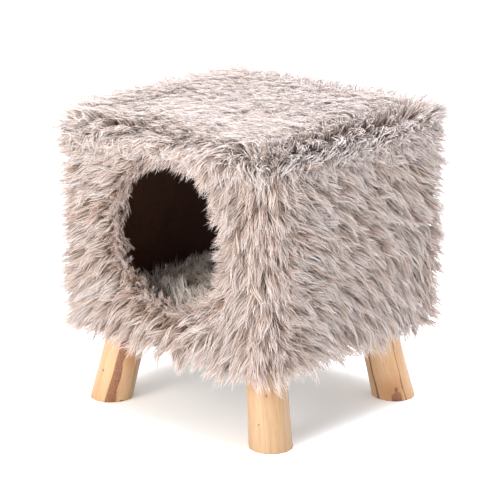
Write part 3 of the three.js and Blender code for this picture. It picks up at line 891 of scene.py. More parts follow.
class StageSettings(bpy.types.PropertyGroup):
    floor_colour: StringProperty(
        name="Floor Colour", description="Hex colour of the studio floor", default="#fafafa")
    key_power: FloatProperty(
        name="Key Light", description="Power of the main soft light", default=48.0, min=0.0,
        unit="POWER")
    front_power: FloatProperty(
        name="Front Light", description="Power of the low soft light that reaches into the entrance",
        default=55.0, min=0.0, unit="POWER")
    top_power: FloatProperty(
        name="Top Light", description="Power of the soft light overhead", default=184.0, min=0.0,
        unit="POWER")
    floor_glow: FloatProperty(
        name="Floor Glow", description="Light from under the pale floor, which lightens the shadows",
        default=0.2, min=0.0, max=1.0)
    world_strength: FloatProperty(
        name="Room Light", description="Strength of the even light from all round", default=0.95,
        min=0.0)
    camera_azimuth: FloatProperty(
        name="Camera Azimuth", description="Camera's turn round the cabin from its front",
        default=math.radians(41.27), subtype="ANGLE", unit="ROTATION")
    camera_elevation: FloatProperty(
        name="Camera Elevation", description="Camera's angle above the horizon",
        default=math.radians(16.08), subtype="ANGLE", unit="ROTATION")
    camera_distance: FloatProperty(
        name="Camera Distance", description="Camera's distance from what it looks at", default=2.769,
        subtype="DISTANCE", unit="LENGTH")
    camera_lens: FloatProperty(
        name="Camera Lens", description="Focal length in millimetres", default=151.9, min=1.0,
        unit="CAMERA")
    aim: FloatVectorProperty(
        name="Camera Aim", description="The point that the camera looks at",
        default=(-0.0027, -0.0023, 0.2022), size=3, subtype="XYZ")


# ---- Operators ----


class CABIN_OT_stage(bpy.types.Operator):
    """Sets up the pale floor, the soft studio light and the camera"""

    bl_idname = "cat_cabin.stage"
    bl_label = "Set the Stage"

    FLOOR_SIZE = 14.0
    # Each light: where it stands, how wide it is, and its colour. All of them face the same point.
    LIGHTS = {
        "key": ((-0.5, -2.9, 1.5), 1.4, "#fff6ec"),
        "front": ((0.3, -3.0, 0.8), 1.4, "#fff8f2"),
        "top": ((0.2, 0.3, 3.0), 2.0, "#f0f5ff"),
    }
    LIT_POINT = Vector((0, 0, 0.22))
    ROOM_COLOUR = "#fffdfb"
    SENSOR_WIDTH = 36.0
    CLIP = (0.05, 50.0)

    def execute(self, context):
        settings = context.scene.cabin_stage
        start_fresh()
        bpy.ops.mesh.primitive_plane_add(size=self.FLOOR_SIZE, location=(0, 0, 0))
        floor = settle(context.object, "studio_floor",
                       studio_material(settings.floor_colour, settings.floor_glow))
        for name, (place, size, colour) in self.LIGHTS.items():
            self.soft_light(name + "_light", place, size, getattr(settings, name + "_power"), colour)
        self.room_light(context.scene, settings.world_strength)
        self.camera(context.scene, settings)
        context.scene.view_settings.view_transform = "Standard"
        return {"FINISHED"}

    def soft_light(self, name, place, size, power, colour):
        data = bpy.data.lights.new(name, "AREA")
        data.size = size
        data.energy = power
        data.color = linear(colour)[:3]
        light = bpy.data.objects.new(name, data)
        light.location = place
        aim = self.LIT_POINT - Vector(place)
        light.rotation_euler = aim.to_track_quat("-Z", "Y").to_euler()
        bpy.context.scene.collection.objects.link(light)

    def room_light(self, scene, strength):
        scene.world = scene.world or bpy.data.worlds.new("studio_room")
        scene.world.use_nodes = True
        backdrop = scene.world.node_tree.nodes["Background"]
        backdrop.inputs["Color"].default_value = linear(self.ROOM_COLOUR)
        backdrop.inputs["Strength"].default_value = strength

    def camera(self, scene, settings):
        data = bpy.data.cameras.new("studio_camera")
        data.lens = settings.camera_lens
        data.sensor_width = self.SENSOR_WIDTH
        camera = bpy.data.objects.new("studio_camera", data)
        turn, rise = settings.camera_azimuth, settings.camera_elevation
        level = math.cos(rise)
        back = Vector((math.sin(turn) * level, -math.cos(turn) * level, math.sin(rise)))
        camera.location = Vector(settings.aim) + back * settings.camera_distance
        camera.rotation_euler = (-back).to_track_quat("-Z", "Y").to_euler()
        data.clip_start, data.clip_end = self.CLIP
        scene.collection.objects.link(camera)
        scene.camera = camera


class CABIN_OT_frame_finishes(bpy.types.Operator):
    """Gives the boards, glue blocks, plates, bolts and screws their real finishes"""

    bl_idname = "cat_cabin.frame_finishes"
    bl_label = "Finish the Frame"

    def execute(self, context):
        board = fibreboard_material()
        zinc = zinc_material()
        finished = 0
        for name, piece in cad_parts.items():
            if name.startswith(("leg_plate_", "leg_bolt_", "plate_screw_")):
                finish = zinc
            elif name.endswith("_board") or name.startswith("corner_block_"):
                finish = board
            else:
                continue
            piece.data.materials.clear()
            piece.data.materials.append(finish)
            finished += 1
        if finished != FRAME_PIECES:
            raise RuntimeError(f"{finished} frame pieces took a finish, not {FRAME_PIECES}")
        return {"FINISHED"}


class CABIN_OT_linings(bpy.types.Operator):
    """Lines the inside with dark cloth, binds the entrance and closes the underside with thin cloth"""

    bl_idname = "cat_cabin.linings"
    bl_label = "Line the Cabin"

    # Each lining: the axis that it faces along, which way its board lies, and the board.
    PANELS = {
        "lining_left": (0, -1, "left_board"),
        "lining_right": (0, 1, "right_board"),
        "lining_back": (1, 1, "back_board"),
        "lining_front": (1, -1, "front_board"),
        "lining_ceiling": (2, 1, "roof_board"),
    }
    GRID = 36
    # Gaps that keep the cloths clear of the boards, how far they ripple, and how wide a ripple is.
    BOARD_GAP = 0.05 * MM
    RIPPLE_WIDTH = 70 * MM
    BINDING_SIDES = 160
    BINDING_GAP = 0.8 * MM
    PUCKER, PUCKER_WIDTH = 0.2 * MM, 9 * MM
    HEM_ROUNDING = 0.25 * MM
    PANEL_SEED, BINDING_SEED, DUST_SEED = 101, 111, 121

    def execute(self, context):
        lining = knit_material("brushed_lining_cloth", "#5a3018", "#34190c", 1.6 * MM)
        spun = knit_material("spun_bonded_dust_cloth", "#26262a", "#151517", 2.2 * MM, roughness=0.8)
        for index, (name, (axis, way, board)) in enumerate(self.PANELS.items()):
            self.panel(name, axis, way, board, index, lining)
        self.binding(lining)
        self.dust_cloth(spun)
        return {"FINISHED"}

    def slack_grid(self, low, high, axis, way, seed):
        """A grid of cloth held along its edges near one face of the box low to high, slack between."""
        start_fresh()
        bpy.ops.mesh.primitive_grid_add(x_subdivisions=self.GRID, y_subdivisions=self.GRID, size=1.0)
        cloth = bpy.context.object
        flat = positions(cloth)
        broad = [other for other in range(3) if other != axis]
        points = np.zeros_like(flat)
        for column, other in enumerate(broad):
            middle, width = (low[other] + high[other]) / 2, high[other] - low[other]
            points[:, other] = middle + flat[:, column] * width
        from_edge = np.clip((0.5 - np.abs(flat[:, :2]).max(1)) / SLACK_EDGE, 0, 1)
        ripple = 0.5 + 0.5 * soft_noise(seed, points, self.RIPPLE_WIDTH)
        board_face = high[axis] if way > 0 else low[axis]
        off = LINING_CLOTH / 2 + self.BOARD_GAP + LINING_SLACK * from_edge * ripple
        points[:, axis] = board_face - way * off
        set_positions(cloth, points)
        return cloth

    def hang(self, cloth, name, material, slot, node_name, board, flat, area=None):
        """Names a cloth, gives it its material, shades it smooth, attaches it to the house and hides the
        node that it stands for. board, which would say what it is fixed to, is not used.
        """
        settle(cloth, name, material)
        bpy.ops.object.shade_smooth_by_angle(angle=math.radians(40))
        belongs(cloth, "house", slot, node_name)

    def panel(self, name, axis, way, board, index, material):
        low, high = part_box(name)
        cloth = self.slack_grid(low, high, axis, way, self.PANEL_SEED + index)
        apply_modifier(cloth, "SOLIDIFY", thickness=LINING_CLOTH, offset=0.0)
        width, length = (high[other] - low[other] for other in range(3) if other != axis)
        area = width * length
        if name == "lining_front":
            cut_entrance(cloth)
            area -= math.pi * ENTRANCE_RADIUS ** 2
        self.hang(cloth, name + "_cloth", material, "lining", name, board, (width, length), area)

    def binding(self, material):
        """A strip of the lining cloth round the cut edge of the entrance, puckered as it turns."""
        start_fresh()
        length = BINDING_HIGH.y - BINDING_LOW.y
        middle = ENTRANCE_RADIUS - BINDING_CLOTH / 2
        bpy.ops.mesh.primitive_cylinder_add(
            vertices=self.BINDING_SIDES, radius=middle - self.PUCKER, depth=length,
            end_fill_type="NOTHING", rotation=(math.pi / 2, 0, 0),
            location=(0, (BINDING_LOW.y + BINDING_HIGH.y) / 2, ENTRANCE_Z))
        ring = bpy.context.object
        bpy.ops.object.transform_apply(location=True, rotation=True, scale=True)
        bpy.ops.object.mode_set(mode="EDIT")
        bpy.ops.mesh.select_all(action="SELECT")
        bpy.ops.mesh.bisect(plane_co=(0, BINDING_LOW.y + length / 2, 0), plane_no=(0, 1, 0))
        bpy.ops.object.mode_set(mode="OBJECT")
        points = positions(ring)
        aside = points * [1, 0, 1] - [0, 0, ENTRANCE_Z]
        pucker = self.PUCKER * soft_noise(self.BINDING_SEED, points, self.PUCKER_WIDTH)
        set_positions(ring, points + unit(aside) * pucker[:, None])
        apply_modifier(ring, "SOLIDIFY", thickness=BINDING_CLOTH - self.BINDING_GAP, offset=0.0)
        apply_modifier(ring, "BEVEL", width=self.HEM_ROUNDING, segments=2, limit_method="ANGLE")
        self.hang(ring, "entrance_binding_cloth", material, "lining", "entrance_binding", "front_board",
                  (2 * math.pi * middle, length))

    def dust_cloth(self, material):
        """The thin cloth under the floor board, cut away at its corners round the leg plates."""
        low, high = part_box("dust_cover")
        cloth = self.slack_grid(low, high, 2, 1, self.DUST_SEED)
        notch = np.abs(positions(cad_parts["dust_cover"])).min(0)
        keep_only(cloth)
        for axis, place in ((0, notch[0]), (0, -notch[0]), (1, notch[1]), (1, -notch[1])):
            where, normal = [0.0, 0.0, 0.0], [0.0, 0.0, 0.0]
            where[axis], normal[axis] = place, 1.0
            bpy.ops.object.mode_set(mode="EDIT")
            bpy.ops.mesh.select_all(action="SELECT")
            bpy.ops.mesh.bisect(plane_co=where, plane_no=normal)
            bpy.ops.object.mode_set(mode="OBJECT")
        delete_where(
            cloth, lambda face: abs(face.center.x) > notch[0] and abs(face.center.y) > notch[1])
        apply_modifier(cloth, "SOLIDIFY", thickness=DUST_CLOTH, offset=0.0)
        width, length = high.x - low.x, high.y - low.y
        area = width * length - 4 * (width / 2 - notch[0]) * (length / 2 - notch[1])
        self.hang(cloth, "underside_dust_cloth", material, "undercloth", "dust_cover", "floor_board",
                  (width, length), area)


class CABIN_OT_wrap(bpy.types.Operator):
    """Makes the backing cloth of the plush: one wrap round the four walls and one cloth on the roof"""

    bl_idname = "cat_cabin.wrap"
    bl_label = "Wrap the Cabin"

    ROOF_GRID = 48
    # The roof cloth's corners are drawn in to just short of the end of the rolled edge.
    CORNER_DRAW = 0.999

    def execute(self, context):
        cloth = knit_material("plush_backing_knit", "#8a7264", "#6b5548", 2.0 * MM)
        self.wall_wrap(cloth)
        self.roof_cloth(cloth)
        return {"FINISHED"}

    def wall_wrap(self, cloth):
        """One cloth round the four walls: a box with rounded upright edges and no top or bottom."""
        height = WALL_TOP_Z - UNDERSIDE_Z
        middle = (WALL_TOP_Z + UNDERSIDE_Z) / 2
        wrap = box_piece((0, 0, middle), (2 * HALF_X, 2 * HALF_Y, height))
        bevel_where(wrap, lambda edge: edge_rise(wrap, edge) > height / 2, CORNER_RADIUS, 8)
        delete_where(wrap, lambda face: abs(face.normal.z) > 0.9)
        apply_modifier(wrap, "SOLIDIFY", thickness=BACKING_THICKNESS, offset=-1.0)
        cut_entrance(wrap)
        settle(wrap, "plush_wall_backing", cloth)
        belongs(wrap, "house", "plush", "plush_front", "plush_back", "plush_left", "plush_right")

    def roof_cloth(self, cloth):
        """One cloth on the roof, rolled over the top edge all round, with its corners drawn in."""
        start_fresh()
        bpy.ops.mesh.primitive_grid_add(
            x_subdivisions=self.ROOF_GRID, y_subdivisions=self.ROOF_GRID, size=1.0)
        roof = bpy.context.object
        flat_half = np.array(ROOF_FLAT)
        reach = flat_half + ROOF_RIM
        spread = positions(roof)[:, :2] * 2 * reach
        over = np.maximum(np.abs(spread) - flat_half, 0)
        past = np.linalg.norm(over, axis=1, keepdims=True)
        pull = np.minimum(1.0, self.CORNER_DRAW * ROOF_RIM / np.maximum(past, 1e-9))
        drawn = np.where(over > 0, np.sign(spread) * (flat_half + over * pull), spread)
        set_positions(roof, roof_surface(drawn[:, 0], drawn[:, 1])[0])
        apply_modifier(roof, "SOLIDIFY", thickness=BACKING_THICKNESS, offset=-1.0)
        settle(roof, "plush_roof_backing", cloth)
        belongs(roof, "house", "plush", "plush_roof")


# The outline of the brushed pile, and of the cushion's pile between the lined walls, each with the
# room for hairs past it. Nothing bounds the cushion's pile upwards.
BRUSHED = (np.array([HALF_X + 22 * MM, HALF_Y + 22 * MM, ROOF_Z + 23 * MM]), 12.5 * MM)
BETWEEN_LININGS = (np.array([LINED_HALF.x - 8 * MM, LINED_HALF.y - 8 * MM, 1.0]), 6 * MM)

# The look of a layer of pile. spacing is from lock to lock and root_spread the radius of a lock's
# foot. lift is how far locks stand up, in degrees, and bend how much steeper they start. sag is a
# share of the length. gather is how far apart tips stay, as a share of their roots' distance, and
# shortest the shortest strand's share of its lock. curl, scatter and stray are distances, and
# rim_gap is how far the layer starts from the entrance.
LONG_PILE = dict(
    outline=BRUSHED, shape=LONG_HAIR, spacing=9.6 * MM, root_spread=7.0 * MM, lift=(30, 46),
    bend=math.radians(34), sag=0.05, scatter=1.8 * MM, gather=(0.15, 0.65), shortest=0.58,
    curl=5.2 * MM, curl_turns=0.75, stray=3.6 * MM, brown_share=0.13, tone=0.74, rim_gap=9 * MM,
    body="house")
UNDERFUR = dict(
    outline=BRUSHED, shape=SHORT_HAIR, spacing=7.6 * MM, root_spread=5.6 * MM, lift=(36, 64),
    bend=math.radians(18), sag=0.04, scatter=2.4 * MM, gather=(0.3, 0.8), shortest=0.45,
    curl=2.6 * MM, curl_turns=0.6, stray=2.6 * MM, brown_share=0.25, tone=0.5, rim_gap=2.5 * MM,
    body="house")

# Hair colours from root to tip, on the cabin and on the cushion. The cushion's are far paler than the
# cabin's: painted light, which makes up for the shade inside the cabin.
PALE_HAIR = [(0.0, "#8e6248"), (0.2, "#ab8b79"), (0.45, "#bfaa9e"), (1.0, "#cbbbb1")]
BROWN_HAIR = [(0.0, "#6c432c"), (0.4, "#8f6852"), (1.0, "#b59384")]
COOL_HAIR = [(0.0, "#93705d"), (0.25, "#b09c94"), (0.5, "#c3b5b0"), (1.0, "#d4c9c6")]
CUSHION_PALE_HAIR = [(0.0, "#ab907e"), (0.4, "#ecdbcf"), (1.0, "#fff3eb")]
CUSHION_BROWN_HAIR = [(0.0, "#8a705e"), (0.5, "#c8b09e"), (1.0, "#efddcf")]
CUSHION_COOL_HAIR = [(0.0, "#a6968d"), (0.4, "#e8dfda"), (1.0, "#fffaf8")]


def span(size, shortest, longest):
    """A range of sizes, given as shares of one size."""
    return size * shortest, size * longest


class CABIN_OT_pile(bpy.types.Operator):
    """Grows the shaggy pile on the walls, the roof and round the entrance"""

    bl_idname = "cat_cabin.pile"
    bl_label = "Grow the Pile"

    # Strands to a lock in the long pile and the underfur of each wall.
    STRANDS = {"front": (14, 6), "right": (10, 5), "back": (7, 4), "left": (7, 4)}
    # Each part of the pile draws its own random numbers; these go with the user's seed.
    ROOF_LONG, ROOF_UNDER, ROOF_EDGE, UPRIGHT_EDGES, ENTRANCE = 10, 11, 12, 13, 20
    EDGE_TUFTS, CORNER_TUFTS, UPRIGHT_TUFTS, ENTRANCE_TUFTS = 800, 72, 680, 440
    CORNER_SPREAD = 12 * MM
    UPRIGHT_REACH = 18 * MM
    # Degrees from straight up at which tufts grow out of the rolled roof edge, along it and at its
    # corners, and how they are combed aside on the right edge, in radians.
    EDGE_ROLL, CORNER_ROLL = (8, 82), (14, 62)
    COMBED = -0.5
    # Degrees of lift: tufts low on the roll hang more, but less over the entrance; brushed ones lie
    # over, and those at the back, the left and the corners stand up.
    LOW_DROP, BRUSHED_DROP, STANDING_LIFT, CORNER_LIFT, HOLE_LIFT = 34, 40, 14, 8, 30
    # How much shorter the tufts over the entrance are, and how much longer those that stand up.
    SHORT_OVER_HOLE, STANDING_LONGER = 0.62, 0.14
    # Hairs on the turned-in edge of the entrance are rooted this far inside it and up to this deep,
    # and those on the front between these distances from it.
    TURNED_IN, TURNED_DEPTH = 1.2 * MM, 8 * MM
    AT_RIM = (1 * MM, 7 * MM)

    def execute(self, context):
        settings = context.scene.cabin_plush
        fur = pile_material("acrylic_long_pile_tip_dyed", BROWN_HAIR, PALE_HAIR, COOL_HAIR)
        pile_length, under_length = settings.pile_length, settings.under_length
        width = settings.hair_width
        long_pile = dict(LONG_PILE, length=span(pile_length, 0.8, 1.1), width=span(width, 0.7, 1.25))
        underfur = dict(UNDERFUR, length=span(under_length, 0.8, 1.2), width=span(width, 0.75, 1.2))
        ends = [CORNER_MIDDLES[-1] - GIRTH, *CORNER_MIDDLES]
        for index, wall in enumerate(WALLS):
            for layer, (name, base) in enumerate((("long_pile", long_pile), ("underfur", underfur))):
                rng = np.random.default_rng((settings.seed, index, layer))
                look = dict(base, strands=self.STRANDS[wall][layer])
                locks = wall_locks(rng, ends[index], ends[index + 1], look)
                grow(f"{wall}_{name}", rng, *locks, look, fur)
        # The roof's long pile and underfur are drawn in paler, cooler hair than the walls', with fewer
        # brown hairs: painted light for the top, which faces the light overhead.
        for layer in range(2):
            rng = np.random.default_rng((settings.seed, self.ROOF_LONG, layer))
            look = dict(long_pile, strands=6, lift=(25, 41), tone=0.92, brown_share=0.03, sag=0.0,
                        bend=math.radians(44), gather=(0.3, 0.9), curl=3.6 * MM, stray=2.8 * MM,
                        length=span(pile_length, 1.0, 1.25))
            grow(f"roof_long_pile_{layer + 1}", rng, *roof_locks(rng, look), look, fur)
        rng = np.random.default_rng((settings.seed, self.ROOF_UNDER))
        look = dict(underfur, strands=4, lift=(44, 76), tone=0.86, brown_share=0.08,
                    length=span(under_length, 1.1, 1.45))
        grow("roof_underfur", rng, *roof_locks(rng, look), look, fur)
        self.roof_edge_pile(settings, underfur, fur)
        self.upright_edge_pile(settings, underfur, fur)
        self.entrance_pile(settings, fur)
        return {"FINISHED"}

    def roof_edge_pile(self, settings, underfur, fur):
        """Tufts along the rolled roof edge, where the two cloths meet, and more at its corners."""
        rng = np.random.default_rng((settings.seed, self.ROOF_EDGE))
        corners = np.repeat(CORNER_MIDDLES, self.CORNER_TUFTS)
        along = np.concatenate([rng.uniform(0, GIRTH, self.EDGE_TUFTS),
                                corners + rng.normal(0, self.CORNER_SPREAD, len(corners))])
        count = len(along)
        at_corner = np.arange(count) >= self.EDGE_TUFTS
        outward, sideways = fanned(along)
        edge, square_out, _ = wall_surface(along, np.full(count, ROOF_Z - ROOF_EDGE_RADIUS))
        roll = np.where(at_corner, rng.uniform(*self.CORNER_ROLL, count),
                        rng.uniform(*self.EDGE_ROLL, count))
        roll = np.radians(roll)[:, None]
        square_normal = square_out * np.sin(roll) + np.array(UP) * np.cos(roll)
        points = edge - square_out * (ROOF_EDGE_RADIUS - ROOF_LAP) + square_normal * ROOF_EDGE_RADIUS
        normal = unit(outward * np.sin(roll) + np.array(UP) * np.cos(roll))
        combed = np.where(points[:, :1] > ROOF_FLAT.x, self.COMBED, 0.0)
        swirl = 0.9 * soft_noise(93, points, 35 * MM)[:, None]
        spin = combed + swirl + rng.normal(0, 0.35, (count, 1))
        down = unit(outward * np.cos(roll) - np.array(UP) * np.sin(roll))
        flow = unit(down * np.cos(spin) + sideways * np.sin(spin))
        # The tufts' tone is set pale: painted light, which lightens the shade that falls between the
        # tufts along the edge.
        look = dict(underfur, strands=9, length=(44 * MM, 60 * MM), lift=(42, 80), tone=0.95,
                    gather=(0.1, 0.5), root_spread=8 * MM, brown_share=0.06)
        # The front and right edges are brushed over, and the back and left ones stand up.
        brushed = (points[:, 0] > ROOF_FLAT.x) | (points[:, 1] < -ROOF_FLAT.y)
        over = ramp(np.degrees(roll[:, 0]), 45, 45)
        more_lift = np.where(brushed, -self.BRUSHED_DROP * (1 - over), self.STANDING_LIFT)
        more_lift = np.where(at_corner, self.CORNER_LIFT, more_lift - self.LOW_DROP * over)
        above_hole = above_entrance(points) * (points[:, 1] < -ROOF_FLAT.y)
        more_lift = more_lift + self.HOLE_LIFT * above_hole * over
        shorter = 1 - self.SHORT_OVER_HOLE * above_hole * (0.4 + 0.6 * over)
        shorter = shorter + np.where(at_corner | ~brushed, self.STANDING_LONGER, 0)
        self.tufts("roof_edge_pile", rng, (points, normal, flow, sideways, down), look, fur,
                   more_lift, shorter)

    def upright_edge_pile(self, settings, underfur, fur):
        """More pile on the four upright edges, where it has to fan out to fill the corner."""
        rng = np.random.default_rng((settings.seed, self.UPRIGHT_EDGES))
        count = self.UPRIGHT_TUFTS
        along = np.repeat(CORNER_MIDDLES, count // 4)
        along = along + rng.uniform(-self.UPRIGHT_REACH, self.UPRIGHT_REACH, count)
        height = rng.uniform(UNDERSIDE_Z + HEM_ROOM, WALL_TOP_Z - 4 * MM, count)
        points = wall_surface(along, height)[0]
        normal, sideways = fanned(along)
        flow = wall_flow(along, points, sideways)[0]
        down = np.tile([0.0, 0.0, -1.0], (count, 1))
        look = dict(underfur, strands=9, length=(46 * MM, 62 * MM), lift=(48, 76), tone=0.7,
                    gather=(0.1, 0.5), root_spread=6 * MM)
        self.tufts("upright_edge_pile", rng, (points, normal, flow, sideways, down), look, fur)

    def tufts(self, name, rng, places, look, fur, more_lift=0.0, shorter=1.0):
        """Grows locks at given points; places holds their points, normals, flow and two tangents."""
        points, normal, flow, sideways, down = places
        count = len(points)
        locks = {"centre": points, "normal": normal, "flow": flow,
                 "length": rng.uniform(*look["length"], count) * shorter,
                 "lift": np.radians(rng.uniform(*look["lift"], count) + more_lift),
                 "tone": look["tone"] + rng.normal(0, 0.14, count)}
        lock_of = np.repeat(np.arange(count), look["strands"])
        shift = disc(rng, len(lock_of), look["root_spread"])
        roots = points[lock_of] + sideways[lock_of] * shift[:, :1] + down[lock_of] * shift[:, 1:]
        grow(name, rng, locks, roots, lock_of, look, fur)

    def entrance_pile(self, settings, fur):
        """Pile at the cut edge of the entrance and on the cloth turned in round it."""
        rng = np.random.default_rng((settings.seed, self.ENTRANCE))
        count = self.ENTRANCE_TUFTS
        angle = (np.arange(count) + rng.uniform(-0.4, 0.4, count)) * 2 * math.pi / count
        turned_in = rng.random(count) < 0.5
        top = rise_share(np.sin(angle))
        radial = np.stack([np.cos(angle), np.zeros(count), np.sin(angle)], 1)
        out = np.where(turned_in, -self.TURNED_IN, rng.uniform(*self.AT_RIM, count)) + ENTRANCE_RADIUS
        points = radial * out[:, None]
        deep = rng.uniform(-CABIN_HALF.y, -CABIN_HALF.y + self.TURNED_DEPTH, count)
        points[:, 1] = np.where(turned_in, deep, -HALF_Y)
        points[:, 2] += ENTRANCE_Z
        tangent = np.stack([-np.sin(angle), np.zeros(count), np.cos(angle)], 1)
        flow = unit(tangent * rng.normal(0, 0.4, count)[:, None] + [0, -0.9, -0.3])
        look = dict(UNDERFUR, strands=12, length=(20 * MM, 34 * MM), lift=(0, 66), bend=0.2,
                    tone=0.66, gather=(0.1, 0.4), brown_share=0.22,
                    width=span(settings.hair_width, 0.5, 0.95))
        # Hairs lie flatter over the top, and stand up more under the entrance.
        lift = rng.uniform(*look["lift"], count) * (1 - 0.4 * top)
        lift = lift - 4 * top - 10 * np.minimum(np.sin(angle), 0)
        length = rng.uniform(*look["length"], count) * (1 - 0.4 * top)
        locks = {"centre": points, "normal": -radial, "flow": flow, "length": length,
                 "lift": np.radians(lift), "tone": look["tone"] + rng.normal(0, 0.12, count)}
        lock_of = np.repeat(np.arange(count), look["strands"])
        shift = disc(rng, len(lock_of), 4.5 * MM)
        turned = angle[lock_of] + shift[:, 0] / ENTRANCE_RADIUS
        outside = np.where(turned_in[lock_of], 0.0, np.maximum(shift[:, 1], 0))
        roots = np.stack([np.cos(turned), np.zeros(len(turned)), np.sin(turned)], 1)
        roots *= (out[lock_of] + outside)[:, None]
        roots[:, 1] = points[lock_of, 1]
        roots[:, 2] += ENTRANCE_Z
        grow("entrance_pile", rng, locks, roots, lock_of, look, fur)


class CABIN_OT_legs(bpy.types.Operator):
    """Turns the four leaning legs into peeled logs, sawn level at the floor"""

    bl_idname = "cat_cabin.legs"
    bl_label = "Make the Log Legs"

    # For each leg: its strips of bark, as degrees round the log, half their width in degrees and how
    # much bark was left; its knots, as degrees, height and radius; the middle of its warm patch, as
    # degrees and height; how warm its wood is all over; and what its colours are multiplied by, which is
    # painted light that brightens the legs that the cabin shades, the left and right ones most.
    MARKS = {
        "front_left": dict(strips=[(-50, 13, 1.0), (8, 3, 0.55)], knots=[(-96, 40 * MM, 2 * MM)],
                           patch=(-20, 70 * MM), warm=0.18, pale=1.32),
        "front_right": dict(strips=[(150, 9, 0.7), (-28, 2, 0.5)],
                            knots=[(-78, 31 * MM, 1.6 * MM), (-52, 66 * MM, 1.8 * MM)],
                            patch=(-62, 84 * MM), warm=0.0, pale=1.06),
        "back_left": dict(strips=[(-120, 10, 0.8)], knots=[(70, 30 * MM, 4 * MM)],
                          patch=(-70, 40 * MM), warm=0.3, pale=1.15),
        "back_right": dict(strips=[(-96, 5, 0.66), (-14, 3, 0.62), (120, 12, 0.5)],
                           knots=[(-40, 3 * MM, 8 * MM), (-36, 15 * MM, 3 * MM)],
                           patch=(-46, 14 * MM), warm=0.3, pale=1.5),
    }

    SIDES, RINGS = 96, 72
    # How far the log is made past each end before it is sawn.
    SPARE = 40 * MM
    MERGE = 0.05 * MM
    LOG_RADIUS = 26 * MM
    # Lumps are this long. A strip of bark widens over this height above the foot, and a warm patch
    # fades over this height and this many degrees.
    LUMP_LENGTH = 60 * MM
    FOOT_FLARE = 60 * MM
    PATCH_HEIGHT, PATCH_DEGREES = 20 * MM, 42
    # How many degrees a strip's edge wanders, and how much wider it is at the foot.
    RAGGED, FLARE = 5, 0.35
    # How far along its length each log's grain is shifted from the last one's.
    GRAIN_SHIFT = 0.37

    def execute(self, context):
        settings = context.scene.cabin_legs
        wood = log_material()
        for index, corner in enumerate(self.MARKS):
            self.leg(corner, index, settings, wood)
        return {"FINISHED"}

    def ends(self, node_name):
        """The middle of a leg's foot and of its top, and its radius at each, from its node."""
        points = positions(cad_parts[node_name])
        found = []
        for height in (points[:, 2].min(), points[:, 2].max()):
            ring = points[np.abs(points[:, 2] - height) < RING_BAND]
            low, high = ring.min(0), ring.max(0)
            found.append((Vector((low + high) / 2), (high - low)[:2].min() / 2))
        return found

    def leg(self, corner, index, settings, wood):
        """A grid rolled into a lumpy log, leant along its node and sawn level at both ends."""
        (foot, foot_radius), (top, top_radius) = self.ends("leg_" + corner)
        start_fresh()
        spine = top - foot
        bpy.ops.mesh.primitive_grid_add(x_subdivisions=self.SIDES, y_subdivisions=self.RINGS, size=1.0)
        log = bpy.context.object
        flat = positions(log)
        turn = (flat[:, 0] + 0.5) * 2 * math.pi
        rise = (flat[:, 1] + 0.5) * (spine.length + 2 * self.SPARE) - self.SPARE
        share = np.clip(rise / spine.length, -0.5, 1.5)
        radius = foot_radius + (top_radius - foot_radius) * share
        straight = np.stack([np.cos(turn), np.sin(turn), rise / self.LUMP_LENGTH], 1)
        lumps = soft_noise(41 + index, straight, 0.9) + 0.35 * soft_noise(51 + index, straight, 0.35)
        radius = radius - settings.lumps * 0.5 + settings.lumps * lumps * 0.6
        own = np.stack([radius * np.cos(turn), radius * np.sin(turn), rise], 1)
        lean = UP.rotation_difference(spine.normalized()).to_matrix()
        set_positions(log, own @ np.array(lean).T + np.array(foot))
        self.mark(log, own, turn, corner, index)
        keep_only(log)
        bpy.ops.object.mode_set(mode="EDIT")
        bpy.ops.mesh.select_all(action="SELECT")
        bpy.ops.mesh.remove_doubles(threshold=self.MERGE)
        for height, outwards in ((foot.z, (0, 0, -1)), (top.z, (0, 0, 1))):
            bpy.ops.mesh.select_all(action="SELECT")
            bpy.ops.mesh.bisect(
                plane_co=(0, 0, height), plane_no=outwards, use_fill=True, clear_outer=True)
        bpy.ops.mesh.select_all(action="SELECT")
        bpy.ops.mesh.normals_make_consistent(inside=False)
        bpy.ops.object.mode_set(mode="OBJECT")
        bevel_where(log, lambda edge: all(abs(z - foot.z) < LEVEL for z in end_heights(log, edge)),
                    settings.chamfer, 2)
        # The bevel rounds a little below the cut, so the foot is pressed level again.
        points = positions(log)
        points[:, 2] = np.maximum(points[:, 2], foot.z)
        set_positions(log, points)
        bpy.ops.object.shade_smooth_by_angle(angle=math.radians(35))
        settle(log, "log_leg_" + corner, wood)
        belongs(log, "house", "log", "leg_" + corner)

